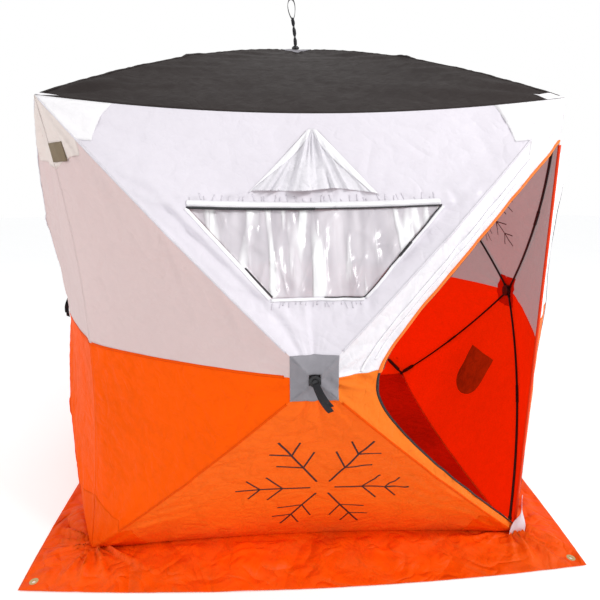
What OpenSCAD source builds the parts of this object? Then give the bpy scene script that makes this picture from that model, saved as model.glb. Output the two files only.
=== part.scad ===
// Pop-up ice fishing hut: four walls and a roof of cloth, each pushed out by a hub with four
// bowed poles. Millimetres, +Z up, origin on the ground at the middle of the floor, front at -Y.

/* [Shelter] */
// Width of the floor from corner to corner on every side
floor_w = 1750; // [1450:10:2100]
// Height of the four roof corners
eave_h = 1714; // [1420:2:2060]
// How far each wall hub stands out beyond its corners
hub_push = 343; // [280:1:420]
// How far the roof hub rises above the roof corners
roof_rise = 378; // [300:1:460]
// How far each pole bows out of its straight line
pole_bow = 45; // [35:1:55]
// How far the cloth stands out halfway along the middle of a panel
panel_bow = 18; // [12:1:24]
// How far the eaves are drawn in between two corners
eave_draw = 46; // [30:1:56]
// How far the upright edges are drawn in between two corners
edge_draw = 60; // [40:1:72]
// How far the foot of a wall is drawn in between two corners
foot_draw = 42; // [30:1:52]
// Thickness of the wall and roof cloth
cloth_t = 3; // [2:0.5:4]

/* [Poles] */
// Diameter of a pole
pole_d = 11; // [8:0.5:12]
// Diameter of the ferrule that joins a pole's two halves
ferrule_d = 14; // [12.5:0.5:15]
// Length of a ferrule
ferrule_l = 90; // [60:5:140]
// Diameter of the sockets that hold the pole ends
socket_d = 15; // [13:0.5:16]
// Length of a socket from its joint's middle
socket_l = 45; // [38:1:60]
// Diameter of a hub's inner disc
hub_d = 60; // [50:1:70]
// Diameter of the button on the outside of a hub
button_d = 36; // [28:1:38]
// Diameter of the knuckle where the poles meet in a corner
knuckle_d = 20; // [17:1:21]

/* [Doorway] */
// Strip of cloth left between the doorway and the pole above it
door_head = 95; // [80:1:120]
// Strip of cloth left between the doorway and the pole below it
door_sill = 22; // [18:1:40]
// Reach of the doorway's round inner corner, in hundredths of the way from hub to edge
door_reach = 24; // [22:1:30]
// Angle that the door stands open, from closed
door_open = 215; // [205:1:215]
// Running gap between the closed door and the doorway
door_gap = 7; // [6:0.5:10]
// Diameter of the round hem that the door turns about
hem_d = 10; // [8:0.5:12]
// Width of the zip tape round the doorway
zip_w = 14; // [10:1:15]

/* [Window and vent] */
// Distance from the hub up to the window's lower edge
window_low = 257; // [230:1:270]
// Height of the window, along the slope of the wall
window_h = 297; // [250:1:300]
// Width of the window's lower edge
window_low_w = 284; // [220:1:300]
// Width of the window's upper edge
window_top_w = 795; // [650:1:800]
// Width of the binding round the window
binding_w = 22; // [15:1:24]
// Distance from the window up to the vent
vent_up = 56; // [52:1:64]
// Height of the vent, along the slope of the wall
vent_h = 240; // [190:1:245]
// Width of the vent's lower edge
vent_w = 404; // [330:1:410]
// How far the vent hood stands out at the middle of its lower edge
hood_lift = 34; // [20:1:45]

/* [Trim] */
// Half width of the square patch over a hub
hub_patch_w = 79; // [70:1:90]
// Length of a corner patch along its pole
patch_l = 215; // [170:5:240]
// Width of a corner patch along the wall's edge
patch_w = 235; // [190:5:260]
// Width of the storage pocket inside the right wall
pocket_w = 266; // [220:1:300]
// Height of the storage pocket
pocket_h = 250; // [200:1:270]
// Width of the webbing straps
strap_w = 25; // [20:1:30]
// Length of a wall's pull strap
strap_l = 115; // [90:1:140]
// Height of the loop on the roof
roof_loop_h = 215; // [180:1:230]

/* [Skirt] */
// Width of the skirt that lies on the snow, at its corners
skirt_w = 190; // [150:5:240]
// How much wider the skirt is halfway along a side
skirt_swell = 50; // [20:1:60]
// Thickness of the skirt and of the ground sheet
skirt_t = 3; // [2:0.5:4]
// Diameter of the hole through an eyelet
eyelet_d = 14; // [12:0.5:18]
// Distance of an eyelet from the skirt's two outer edges
eyelet_in = 38; // [34:1:50]

/* [Hidden] */
$fn = 48;

Z = [0, 0, 1];
ROOF = 4;
// Outward directions of the front, right, back and left walls and of the roof
OUT = [[0, -1, 0], [1, 0, 0], [0, 1, 0], [-1, 0, 0], Z];
CORNERS = [[-1, -1], [1, -1], [1, 1], [-1, 1]];
DOOR_CORNER = 1;
// Panels of a wall, seen from outside: each runs from the hub to one edge
TOP = 0;
RIGHT = 1;
BOTTOM = 2;
LEFT = 3;
WHITE = "#e6e2ee";
ORANGE = "#f0561c";
GREY = "#4c4644";
BLACK = "#1c1c1e";

// Gaps between pieces sewn together, laid on each other, and laid over a bend of the cloth
seam = 0.3;
lift = 0.4;
tight = 0.9;
proud = 1.8;
trim_t = 1.4;
// Columns over a whole panel and over half of one
steps = 8;
half_steps = 4;
// Where the cloth starts round a hub's stem
hole_u = 0.03;
pole_gap = 4.5;
foot_z = skirt_t + seam;
pole_inset = cloth_t + socket_d / 2 + pole_gap;
panel_l = norm([eave_h / 2, hub_push]);
side_l = norm([floor_w / 2, hub_push]);
roof_l = norm([floor_w / 2, roof_rise]);
wall_pole_l = norm([floor_w / 2, hub_push, eave_h / 2]);
roof_pole_l = norm([floor_w / 2, floor_w / 2, roof_rise]);
edge_u = 1 - seam / panel_l;

// ---- The stretched cloth: one smooth panel between a hub and two corners ----

function corner(i, top, o = 0) =
    [CORNERS[i % 4][0] * (floor_w / 2 + o), CORNERS[i % 4][1] * (floor_w / 2 + o),
        top ? eave_h + o : foot_z];

function hub_at(k, o = 0) =
    k == ROOF ? (eave_h + roof_rise + o) * Z : (floor_w / 2 + hub_push + o) * OUT[k] + eave_h / 2 * Z;

// The door's edge is straight, so that the door can turn about it
function edge_pull(i) = i % 4 == DOOR_CORNER ? 0 : edge_draw;

// A panel's two corners, and how its outer edge is drawn in between them
function panel(k, g, o) =
    k == ROOF ? [corner(g + 1, true, o), corner(g, true, o), -eave_draw * (OUT[g] + Z)]
    : g == TOP ? [corner(k, true, o), corner(k + 1, true, o), -eave_draw * (OUT[k] + Z)]
    : g == RIGHT ? [corner(k + 1, true, o), corner(k + 1, false, o),
        -edge_pull(k + 1) * (OUT[k] + OUT[(k + 1) % 4])]
    : g == BOTTOM ? [corner(k + 1, false, o), corner(k, false, o), -foot_draw * OUT[k]]
    : [corner(k, false, o), corner(k, true, o), -edge_pull(k) * (OUT[k] + OUT[(k + 3) % 4])];

// Point on a panel: u runs from the hub to the edge, v from its first corner to its second,
// and o lifts the point off the cloth
function spot(k, g, u, v, o = 0) =
    let (p = panel(k, g, o), h = hub_at(k, o), swell = 4 * v * (1 - v))
    h + u * (p[0] + (p[1] - p[0]) * v - h) + u * u * swell * p[2]
    + 4 * u * (1 - u) * (pole_bow + (panel_bow - pole_bow) * swell) * OUT[k];

// Closed sheet between two grids of points; skip holds blocks of cells left open, and loop
// joins the last column to the first
module sheet(outer, inner, skip = [], loop = false) {
    rows = len(outer);
    cols = len(outer[0]);
    n = rows * cols;
    last = loop ? cols - 1 : cols - 2;
    function at(i, j) = i * cols + j % cols;
    function open(i, j) =
        len([for (s = skip) if (i >= s[0] && i < s[1] && j >= s[2] && j < s[3]) 1]) > 0;
    function kept(i, j) = i >= 0 && i < rows - 1 && (loop || (j >= 0 && j <= last)) && !open(i, j);
    function wall(a, b) = [[b, a, a + n], [b, a + n, b + n]];
    faces = [for (i = [0:rows - 2]) for (j = [0:last]) if (kept(i, j))
        let (a = at(i, j), b = at(i + 1, j), c = at(i + 1, j + 1), d = at(i, j + 1))
        each concat([[a, b, c], [a, c, d], [a + n, c + n, b + n], [a + n, d + n, c + n]],
            kept(i, j - 1) ? [] : wall(a, b), kept(i + 1, j) ? [] : wall(b, c),
            kept(i, j + 1) ? [] : wall(c, d), kept(i - 1, j) ? [] : wall(d, a))];
    polyhedron([for (p = concat(outer, inner)) each p], faces, convexity = 4);
}

// Part of a panel between two distances from the hub and two directions
module cloth(k, g, v0, v1, u0 = hole_u, u1 = edge_u, o = 0, t = cloth_t, nu = steps, nv = steps) {
    function point(i, j, o) =
        let (u = u0 + (u1 - u0) * i / nu, e = seam / (u * floor_w))
        spot(k, g, u, v0 + e + (v1 - v0 - 2 * e) * j / nv, o);
    function grid(o) = [for (i = [0:nu]) [for (j = [0:nv]) point(i, j, o)]];
    sheet(grid(o), grid(o - t));
}

// Cloth whose rows lie at the distances us, reaching half(u) to each side of the panel's middle
module band(k, g, us, half, o, t, n, skip = []) {
    function grid(o) = [for (u = us) [for (j = [0:n])
        spot(k, g, u, 0.5 + (2 * j / n - 1) * half(u) / (u * floor_w), o)]];
    sheet(grid(o), grid(o - t), skip);
}

function between(a, b, n) = [for (i = [0:n]) a + (b - a) * i / n];

// ---- Walls and roof ----

module wall_upper(k) {
    cloth(k, TOP, 0, 1);
    cloth(k, RIGHT, 0, 0.5, nv = half_steps);
    cloth(k, LEFT, 0.5, 1, u1 = k == DOOR_CORNER ? hem_u : edge_u, nv = half_steps);
}

module wall_lower(k) {
    cloth(k, BOTTOM, 0, 1);
    cloth(k, RIGHT, 0.5, 1, nv = half_steps);
    cloth(k, LEFT, 0, 0.5, u1 = k == DOOR_CORNER ? hem_u : edge_u, nv = half_steps);
}

module roof_cover() {
    color(GREY) for (g = [0:3]) cloth(ROOF, g, 0, 1);
}

// ---- Window and vent in the front wall's top panel ----

window_u0 = window_low / panel_l;
window_u1 = (window_low + window_h) / panel_l;
vent_u0 = window_u1 + vent_up / panel_l;
vent_u1 = vent_u0 + vent_h / panel_l;
vent_tip = 30;
side_cols = 3;
cut_cols = 6;
cut_rows = 3;

// Half width of the cut at distance u: the window, then the vent above it
function cut_half(u) = lookup(u, [[hole_u, window_low_w / 2 * hole_u / window_u0],
    [window_u0, window_low_w / 2], [window_u1, window_top_w / 2],
    [vent_u0, vent_w / 2], [vent_u1, vent_tip / 2], [1, vent_tip / 2]]);

// Column j of the front top panel, with its cuts between two of the columns
function cut_v(u, j) =
    let (e = seam / (u * floor_w), c = cut_half(u) / (u * floor_w), last = 2 * side_cols + cut_cols)
    j <= side_cols ? e + (0.5 - c - e) * j / side_cols
    : j >= side_cols + cut_cols ? 1 - e - (0.5 - c - e) * (last - j) / side_cols
    : 0.5 - c + 2 * c * (j - side_cols) / cut_cols;

module front_panel_top() {
    us = concat([hole_u], between(window_u0 / 2, window_u0, 1),
        [for (i = [1:cut_rows]) window_u0 + (window_u1 - window_u0) * i / cut_rows],
        between(vent_u0, vent_u1, cut_rows), [edge_u]);
    function grid(o) = [for (u = us) [for (j = [0:2 * side_cols + cut_cols])
        spot(0, TOP, u, cut_v(u, j), o)]];
    window_row = 2;
    vent_row = window_row + cut_rows + 1;
    color(WHITE) sheet(grid(0), grid(-cloth_t),
        [[window_row, window_row + cut_rows, side_cols, side_cols + cut_cols],
            [vent_row, vent_row + cut_rows, side_cols, side_cols + cut_cols]]);
}

module window_film() {
    e = seam / panel_l;
    color("#b9c4cc", 0.6)
    band(0, TOP, between(window_u0 + e, window_u1 - e, cut_rows), function (u) cut_half(u) - seam,
        0, 1, cut_cols);
}

module window_binding() {
    b = binding_w / panel_l;
    us = concat([window_u0 - b], between(window_u0, window_u1, cut_rows), [window_u1 + b]);
    function half(u, j) = cut_half(min(max(u, window_u0), window_u1)) + (j == 0 ? binding_w : 0);
    last = cut_cols + 2;
    function grid(o) = [for (u = us) [for (j = [0:last])
        let (edge = j == 0 || j == last, h = half(u, edge ? 0 : 1),
            x = edge ? (j == 0 ? -1 : 1) : 2 * (j - 1) / cut_cols - 1)
        spot(0, TOP, u, 0.5 + x * h / (u * floor_w), o)]];
    color("white") sheet(grid(proud + lift + trim_t), grid(proud + lift),
        [[1, 1 + cut_rows, 1, 1 + cut_cols]]);
}

module window_zip() {
    low = proud + lift + trim_t + tight;
    tape = 12;
    pull_up = 0.58;
    pull_l = 60;
    pull_in = 2;
    side_us = between(window_u0, window_u1 - seam / panel_l, cut_rows);
    pull_u = window_u0 + (window_u1 - window_u0) * pull_up;
    pull_us = between(pull_u - pull_l / panel_l, pull_u, 2);
    function side(u, x) = 0.5 + (cut_half(u) + x) / (u * floor_w);
    function strip(o, us, x0, x1) = [for (u = us) [spot(0, TOP, u, side(u, x0), o),
        spot(0, TOP, u, side(u, x1), o)]];
    color(BLACK) {
        band(0, TOP, between(window_u1, window_u1 + tape / panel_l, 1), function (u) window_top_w / 2,
            low + trim_t, trim_t, cut_cols);
        sheet(strip(low + trim_t, side_us, 0, tape), strip(low, side_us, 0, tape));
        sheet(strip(low + 3 * trim_t, pull_us, pull_in, pull_in + tape),
            strip(low + trim_t + lift, pull_us, pull_in, pull_in + tape));
    }
}

module vent_mesh() {
    e = seam / panel_l;
    color(BLACK)
    band(0, TOP, between(vent_u0 + e, vent_u1 - e, cut_rows), function (u) cut_half(u) - seam,
        0, 1, cut_cols);
}

module vent_hood() {
    lap = 16;
    u0 = vent_u0 - lap / panel_l;
    u1 = vent_u1 + lap / panel_l;
    rows = 6;
    cols = 8;
    function half(r) = lap + vent_tip / 2 + (vent_w - vent_tip) / 2 * (1 - r);
    function point(i, j, o) =
        let (r = i / rows, x = 2 * j / cols - 1, u = u0 + (u1 - u0) * r)
        spot(0, TOP, u, 0.5 + x * half(r) / (u * floor_w), o)
        + hood_lift * (1 - r) * (1 - x * x) * OUT[0];
    function grid(o) = [for (i = [0:rows]) [for (j = [0:cols]) point(i, j, o)]];
    base = proud;
    color(WHITE) sheet(grid(base + trim_t), grid(base));
}

// ---- Doorway: a rounded triangle cut in the front wall's right panel ----

// Shares of the panel left above and below the doorway, and how round its inner corner is
head_share = door_head * wall_pole_l / (eave_h * side_l);
sill_share = door_sill * wall_pole_l / (eave_h * side_l);
gap_share = door_gap * wall_pole_l / (eave_h * side_l);
zip_share = zip_w * wall_pole_l / (eave_h * side_l);
round_share = (door_reach / 100 - head_share - sill_share) / 2;
hem_gap = 0.4;
hem_u = 1 - (hem_d / 2 + hem_gap) / side_l;

// The edge is a hyperbola between the two strips; door_most is its parameter at its ends
function door_most(inset, u_end) =
    let (x = (u_end - head_share - sill_share - 2 * inset) / (2 * round_share))
    ln(x + sqrt(x * x - 1));

// Point w of the doorway's edge as [distance, direction] on the panel; w runs from -1 at the
// top to 1 at the bottom, and inset shrinks the outline
function door_uv(w, inset = 0, u_end = 1) =
    let (e = exp(w * door_most(inset, u_end)), low = head_share + inset + round_share * e,
        high = sill_share + inset + round_share / e)
    [low + high, low / (low + high)];

// Where the edge crosses the panel's middle, between the white and the orange cloth
function door_middle(inset, u_end) =
    let (x = (sill_share - head_share) / (2 * round_share))
    ln(x + sqrt(x * x + 1)) / door_most(inset, u_end);

// Cloth between the hub, a pole and the doorway, over the directions vs
module frame_cloth(ws, pole_v) {
    tip = door_uv(pole_v == 0 ? -1 : 1, 0, edge_u);
    uvs = [for (w = ws) door_uv(w, 0, edge_u)];
    ends = [[edge_u, pole_v], [edge_u, (pole_v + tip[1]) / 2]];
    all = pole_v == 0 ? concat(ends, uvs) : concat(uvs, [ends[1], ends[0]]);
    first = all[0][1];
    end = all[len(all) - 1][1];
    function point(i, uv, o) =
        let (u = hole_u + (uv[0] - hole_u) * i / steps, e = seam / (u * floor_w))
        spot(0, RIGHT, u, first + e + (uv[1] - first) * (end - first - 2 * e) / (end - first), o);
    function grid(o) = [for (i = [0:steps]) [for (uv = all) point(i, uv, o)]];
    sheet(grid(0), grid(-cloth_t));
}

module door_frame_upper() {
    color(WHITE) frame_cloth(between(-1, door_middle(0, edge_u), steps), 0);
}

module door_frame_lower() {
    color(ORANGE) frame_cloth(between(door_middle(0, edge_u), 1, steps), 1);
}

module door_zip() {
    middle = door_middle(0, edge_u);
    ws = concat(between(-1, middle, steps), between(middle + (1 - middle) / steps, 1, steps - 1));
    function line(inset, o) = [for (w = ws)
        let (uv = door_uv(w, inset, edge_u)) spot(0, RIGHT, uv[0], uv[1], o)];
    low = proud + tight;
    color(BLACK) sheet([line(-zip_share, low + trim_t), line(0, low + trim_t)],
        [line(-zip_share, low), line(0, low)]);
}

// ---- Door: stands open, turned about the front right corner ----

hinge = corner(DOOR_CORNER, true);
face_out = [hub_push, -floor_w / 2, 0] / side_l;

module swung() {
    translate([hinge[0], hinge[1], 0]) rotate([0, 0, door_open]) translate([-hinge[0], -hinge[1], 0])
    children();
}

// How far the door cloth lies inside the stretched surface at the doorway's edge: as flat as
// the straight hem near it, and as proud as the frame at the round inner corner
function slack(uv) =
    let (s = 4 * uv[1] * (1 - uv[1]))
    uv[0] * 4 * uv[0] * (1 - uv[0]) * (pole_bow + (panel_bow - pole_bow) * s)
    * floor_w / 2 / side_l;

// Point of the closed door: r runs from its zipped edge to the hem
function door_point(w, r, o, inset = gap_share) =
    let (uv = door_uv(w, inset, hem_u),
        top_v = door_uv(-1, inset, hem_u)[1], low_v = door_uv(1, inset, hem_u)[1],
        hem_uv = [hem_u, top_v + (low_v - top_v) * (w + 1) / 2],
        hem = spot(0, RIGHT, hem_uv[0], hem_uv[1]) - slack(hem_uv) * face_out,
        zip = spot(0, RIGHT, uv[0], uv[1]) - slack(uv) * face_out)
    zip + (hem - zip) * r + o * face_out;

module door_cloth(w0, w1) {
    function grid(o) = [for (w = between(w0, w1, steps)) [for (r = between(1, 0, steps))
        door_point(w, r, o)]];
    swung() sheet(grid(0), grid(-cloth_t));
}

// Half the gap between the door's two cloths, and where its narrow points are cut off
door_seam_w = 0.002;
door_tip_w = 0.985;

module door_panel_upper() {
    color(WHITE) door_cloth(-door_tip_w, door_middle(gap_share, hem_u) - door_seam_w);
}

module door_panel_lower() {
    color(ORANGE) door_cloth(door_middle(gap_share, hem_u) + door_seam_w, door_tip_w);
}

module door_hem() {
    top = spot(0, RIGHT, hem_u, door_uv(-1, gap_share, hem_u)[1])[2];
    low = spot(0, RIGHT, hem_u, door_uv(1, gap_share, hem_u)[1])[2];
    color(BLACK) translate([hinge[0], hinge[1], low]) cylinder(h = top - low, d = hem_d);
}

module door_edge_zip() {
    middle = door_middle(gap_share, hem_u);
    far = zip_w / side_l;
    ws = concat(between(-door_tip_w, middle - door_seam_w, steps),
        between(middle + door_seam_w, door_tip_w, steps));
    function line(r, o) = [for (w = ws) door_point(w, r, o)];
    color(BLACK) swung() sheet([line(far, -cloth_t - lift), line(0, -cloth_t - lift)],
        [line(far, -cloth_t - lift - trim_t), line(0, -cloth_t - lift - trim_t)]);
}

// ---- Poles, hubs and corner joints ----

function pole_end(i, top) =
    top ? corner(i, true, -pole_inset)
    : [CORNERS[i % 4][0] * (floor_w / 2 - pole_inset), CORNERS[i % 4][1] * (floor_w / 2 - pole_inset),
        foot_z + seam + knuckle_d / 2];
function chord(k, i, top) = pole_end(i, top) - hub_at(k, -pole_inset);
function unit(a) = a / norm(a);
function across(k, d) = OUT[k] - (OUT[k] * d) * d;
function rise(k, i, top) = pole_bow * norm(across(k, unit(chord(k, i, top))));
function bend_r(k, i, top) =
    let (l = norm(chord(k, i, top)), b = rise(k, i, top)) (l * l / 4 + b * b) / (2 * b);
function bend_a(k, i, top) = asin(norm(chord(k, i, top)) / 2 / bend_r(k, i, top));

// Sets its children on a pole's straight line: X towards the corner, Y the way it bows
module on_pole(k, i, top) {
    from = hub_at(k, -pole_inset);
    x = unit(chord(k, i, top));
    y = unit(across(k, x));
    z = cross(x, y);
    multmatrix([[x[0], y[0], z[0], from[0]], [x[1], y[1], z[1], from[1]], [x[2], y[2], z[2], from[2]]])
    children();
}

// Round rod along the pole's arc, between two lengths from its hub
module arc_rod(k, i, top, d, s0, s1) {
    r = bend_r(k, i, top);
    half = bend_a(k, i, top);
    turn = 180 / PI / r;
    on_pole(k, i, top) translate([norm(chord(k, i, top)) / 2, rise(k, i, top) - r, 0])
    rotate([0, 0, 90 + half - s1 * turn])
    rotate_extrude(angle = (s1 - s0) * turn, $fn = 480) translate([r, 0]) circle(d = d, $fn = 32);
}

module pole(k, i, top) {
    l = 2 * bend_a(k, i, top) * PI / 180 * bend_r(k, i, top);
    arc_rod(k, i, top, pole_d, socket_l + seam, l - socket_l - seam);
    arc_rod(k, i, top, ferrule_d, l / 2 - ferrule_l / 2, l / 2 + ferrule_l / 2);
}

module socket(k, i, top, at_hub) {
    on_pole(k, i, top) translate([at_hub ? 0 : norm(chord(k, i, top)), 0, 0])
    rotate([0, 0, (at_hub ? 1 : -1) * bend_a(k, i, top)]) rotate([0, at_hub ? 90 : -90, 0])
    cylinder(h = socket_l, d = socket_d);
}

module wall_poles(k) {
    color(BLACK) for (i = [k, k + 1]) for (top = [true, false]) pole(k, i, top);
}

module roof_poles() {
    color(BLACK) for (i = [0:3]) pole(ROOF, i, true);
}

// Inner disc with its sockets, and a stem through the cloth to an outer button
stem_d = 20;
pin_d = 10;
disc_t = 20;
disc_in = 14;
button_in = 5;
button_t = 6;
strap_t = 2.5;
head_d = 18;
head_t = 3;

module hub_core(k) {
    translate(hub_at(k)) rotate(k == ROOF ? [0, 0, 0] : [90, 0, 90 * k]) {
        translate([0, 0, -disc_in - disc_t]) cylinder(h = disc_t, d = hub_d);
        translate([0, 0, -disc_in]) cylinder(h = disc_in + button_in, d = stem_d);
        translate([0, 0, button_in]) cylinder(h = button_t, d = button_d);
    }
}

module wall_hubs() {
    color(BLACK) for (k = [0:3]) {
        hub_core(k);
        for (i = [k, k + 1]) for (top = [true, false]) socket(k, i, top, true);
        translate(hub_at(k)) rotate([90, 0, 90 * k]) translate([0, 0, button_in + button_t]) {
            cylinder(h = strap_t + 2 * seam, d = pin_d);
            translate([0, 0, strap_t + 2 * seam]) cylinder(h = head_t, d = head_d);
        }
    }
}

module roof_hub() {
    color(BLACK) {
        hub_core(ROOF);
        for (i = [0:3]) socket(ROOF, i, true, true);
    }
}

module knuckle(i, top) {
    translate(pole_end(i, top) - knuckle_d / 2 * Z) cylinder(h = knuckle_d, d = knuckle_d);
}

module top_corner_joints() {
    color(BLACK) for (i = [0:3]) {
        knuckle(i, true);
        socket(i, i, true, false);
        socket((i + 3) % 4, i, true, false);
        socket(ROOF, i, true, false);
    }
}

module corner_feet() {
    color(BLACK) for (i = [0:3]) {
        knuckle(i, false);
        socket(i, i, false, false);
        socket((i + 3) % 4, i, false, false);
    }
}

// ---- Patches, tag and pocket ----

// Square cloth patch round a hub, bent over all four panels
module hub_patches() {
    in = 0.02;
    ring = 4;
    module patch(k, l) {
        us = [in, in + (hub_patch_w / l - in) / 2, hub_patch_w / l];
        function grid(o) = [for (u = us) [for (g = [0:3]) for (j = [0:ring - 1])
            spot(k, k == ROOF ? 3 - g : g, u, j / ring, o)]];
        sheet(grid(tight + trim_t), grid(tight), loop = true);
    }
    color("#8b8a92") {
        for (k = [0:3]) patch(k, panel_l);
        patch(ROOF, roof_l);
    }
}

// Reinforcement in the corner of one panel, at its first or its second corner
module corner_patch(k, g, second, long, wide, pole_l) {
    u0 = 1 - long / pole_l;
    narrow = 58;
    rows = 3;
    cols = 2;
    function point(i, j, o) =
        let (r = i / rows, u = u0 + (edge_u - u0) * r, w = (narrow + (wide - narrow) * r) / floor_w,
            e = seam / floor_w, v = e + (w - e) * j / cols)
        spot(k, g, u, second ? 1 - v : v, o);
    js = second ? [cols:-1:0] : [0:cols];
    function grid(o) = [for (i = [0:rows]) [for (j = js) point(i, j, o)]];
    sheet(grid(proud + trim_t), grid(proud));
}

module corner_patches_upper() {
    cap = 0.45;
    beside_door = 92;
    color("white") for (k = [0:3]) {
        corner_patch(k, TOP, false, patch_l, patch_w, wall_pole_l);
        corner_patch(k, TOP, true, patch_l, patch_w, wall_pole_l);
        corner_patch(k, RIGHT, false, patch_l, k == 0 ? beside_door : patch_w, wall_pole_l);
        if (k != DOOR_CORNER) corner_patch(k, LEFT, true, patch_l, patch_w, wall_pole_l);
        corner_patch(ROOF, k, false, cap * patch_l, cap * patch_w, roof_pole_l);
        corner_patch(ROOF, k, true, cap * patch_l, cap * patch_w, roof_pole_l);
    }
}

module corner_patches_lower() {
    color("#f4762c") for (k = [0:3]) {
        corner_patch(k, BOTTOM, false, patch_l, patch_w, wall_pole_l);
        corner_patch(k, BOTTOM, true, patch_l, patch_w, wall_pole_l);
        if (k != 0) corner_patch(k, RIGHT, true, patch_l, patch_w, wall_pole_l);
        if (k != DOOR_CORNER) corner_patch(k, LEFT, false, patch_l, patch_w, wall_pole_l);
    }
}

module corner_tag() {
    high = 0.925;
    tag_w = 60;
    tag_l = 66;
    low = proud + trim_t + lift;
    dv = tag_l / eave_h / 2;
    function grid(o) = [for (u = between(1 - tag_w / side_l, edge_u, 1))
        [for (v = between(high - dv, high + dv, 1)) spot(0, LEFT, u, v, o)]];
    color("#8c8068") sheet(grid(low + trim_t), grid(low));
}

module wall_pocket() {
    up = 0.42;
    chamfer = 40;
    u1 = up + pocket_h / panel_l;
    us = concat(between(up, u1 - chamfer / panel_l, 3), [u1]);
    color("#7d1205") band(1, BOTTOM, us, function (u) lookup(u, [[u1 - chamfer / panel_l, pocket_w / 2],
        [u1, pocket_w / 2 - chamfer]]), -cloth_t - proud, trim_t, 4);
}

// ---- Straps ----

module pull_straps() {
    lean = 32;
    tail = 14;
    color(BLACK) for (k = [0:3])
        translate(hub_at(k)) rotate([90, 0, 90 * k]) rotate([0, 0, lean])
        translate([0, 0, button_in + button_t + seam]) difference() {
            translate([-strap_w / 2, tail - strap_l, 0]) cube([strap_w, strap_l, strap_t]);
            translate([0, 0, -1]) cylinder(h = strap_t + 2, d = pin_d + 2 * seam);
        }
}

module roof_strap() {
    loop_d = 34;
    loop_h = 85;
    web = 4;
    pad_t = 3;
    foot = button_in + button_t + seam;
    bottom = roof_loop_h - loop_h;
    module stadium(d) {
        translate([0, bottom + loop_d / 2]) circle(d = d);
        translate([0, roof_loop_h - loop_d / 2]) circle(d = d);
        translate([-d / 2, bottom + loop_d / 2]) square([d, loop_h - loop_d]);
    }
    color(BLACK) translate(hub_at(ROOF) + foot * Z) {
        translate([-strap_w / 2, -strap_w / 2, 0]) cube([strap_w, strap_w, pad_t]);
        rotate([90, 0, 0]) translate([0, 0, -strap_w / 2]) linear_extrude(strap_w) difference() {
            union() {
                translate([-web, 0]) square([2 * web, bottom + web]);
                stadium(loop_d);
            }
            stadium(loop_d - 2 * web);
        }
    }
}

// ---- Skirt ----

skirt_lap = 12;
skirt_in = floor_w / 2 - skirt_lap;
skirt_out = floor_w / 2 + skirt_w;
eyelet_at = skirt_out - eyelet_in;
rim_d = eyelet_d + 5;

function bulge(x, half, high) = high * (1 - pow(x / half, 2));

// Flat cloth along one side: long sides reach the outer corners, short ones fit between them
module skirt_side(k, long) {
    n = 16;
    end = long ? skirt_out : skirt_in - seam;
    inner = [for (x = between(end < skirt_in ? end : skirt_in, end < skirt_in ? -end : -skirt_in, n))
        [x, -skirt_in + bulge(x, skirt_in, foot_draw)]];
    outer = [for (x = between(-end, end, n)) [x, -skirt_out - bulge(x, skirt_out, skirt_swell)]];
    ends = long ? [[-skirt_out, -skirt_in], [skirt_out, -skirt_in]] : [];
    color(ORANGE) rotate([0, 0, 90 * k]) difference() {
        linear_extrude(skirt_t) polygon(long ? concat([ends[1]], inner, [ends[0]], outer)
            : concat(inner, outer));
        if (long) for (s = [-1, 1]) translate([s * eyelet_at, -eyelet_at, -1])
            cylinder(h = skirt_t + 2, d = rim_d + 2 * seam);
    }
}

// Sheet on the ground inside the walls, cut to the skirt's inner edge
module ground_sheet() {
    n = 16;
    in = skirt_in - seam;
    color("#c22a10") linear_extrude(skirt_t) polygon([for (k = [0:3]) for (i = [0:n - 1])
        let (x = -in + 2 * in * i / n, y = -in + bulge(x, in, foot_draw))
        [x * cos(90 * k) - y * sin(90 * k), x * sin(90 * k) + y * cos(90 * k)]]);
}

module skirt_eyelets() {
    flange_d = rim_d + 12;
    flange_t = 1.5;
    color("#c9a24a") for (c = CORNERS) translate([c[0] * eyelet_at, c[1] * eyelet_at, 0]) difference() {
        union() {
            cylinder(h = skirt_t + seam, d = rim_d);
            translate([0, 0, skirt_t + seam]) cylinder(h = flange_t, d = flange_d);
        }
        translate([0, 0, -1]) cylinder(h = skirt_t + flange_t + 3, d = eyelet_d);
    }
}

// ---- Nodes ----

front_panel_top();
color(ORANGE) cloth(0, BOTTOM, 0, 1);  // front_panel_bottom
color(WHITE) cloth(0, LEFT, 0.5, 1, nv = half_steps);  // front_left_upper
color(ORANGE) cloth(0, LEFT, 0, 0.5, nv = half_steps);  // front_left_lower
door_frame_upper();
door_frame_lower();
color(WHITE) wall_upper(1);  // right_wall_upper
color(ORANGE) wall_lower(1);  // right_wall_lower
color(WHITE) wall_upper(2);  // back_wall_upper
color(ORANGE) wall_lower(2);  // back_wall_lower
color(WHITE) wall_upper(3);  // left_wall_upper
color(ORANGE) wall_lower(3);  // left_wall_lower
roof_cover();
window_film();
window_binding();
window_zip();
vent_mesh();
vent_hood();
hub_patches();
wall_poles(0);  // front_poles
wall_poles(1);  // right_poles
wall_poles(2);  // back_poles
wall_poles(3);  // left_poles
roof_poles();
wall_hubs();
roof_hub();
top_corner_joints();
corner_feet();
corner_patches_upper();
corner_patches_lower();
corner_tag();
skirt_side(0, true);  // skirt_front
skirt_side(1, false);  // skirt_right
skirt_side(2, true);  // skirt_back
skirt_side(3, false);  // skirt_left
skirt_eyelets();
ground_sheet();
pull_straps();
roof_strap();
wall_pocket();
door_zip();
door_panel_upper();
door_panel_lower();
door_hem();
door_edge_zip();
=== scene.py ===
"""Looks of the pop-up ice fishing hut: cloth, film, webbing, zips, stage and lights round its frame.

Metres, +Z up, front at -Y. The sizes and the stretched surface repeat the part's own source.
"""

import math

import bmesh
import bpy
import numpy as np
from mathutils import Matrix, Vector


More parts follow.
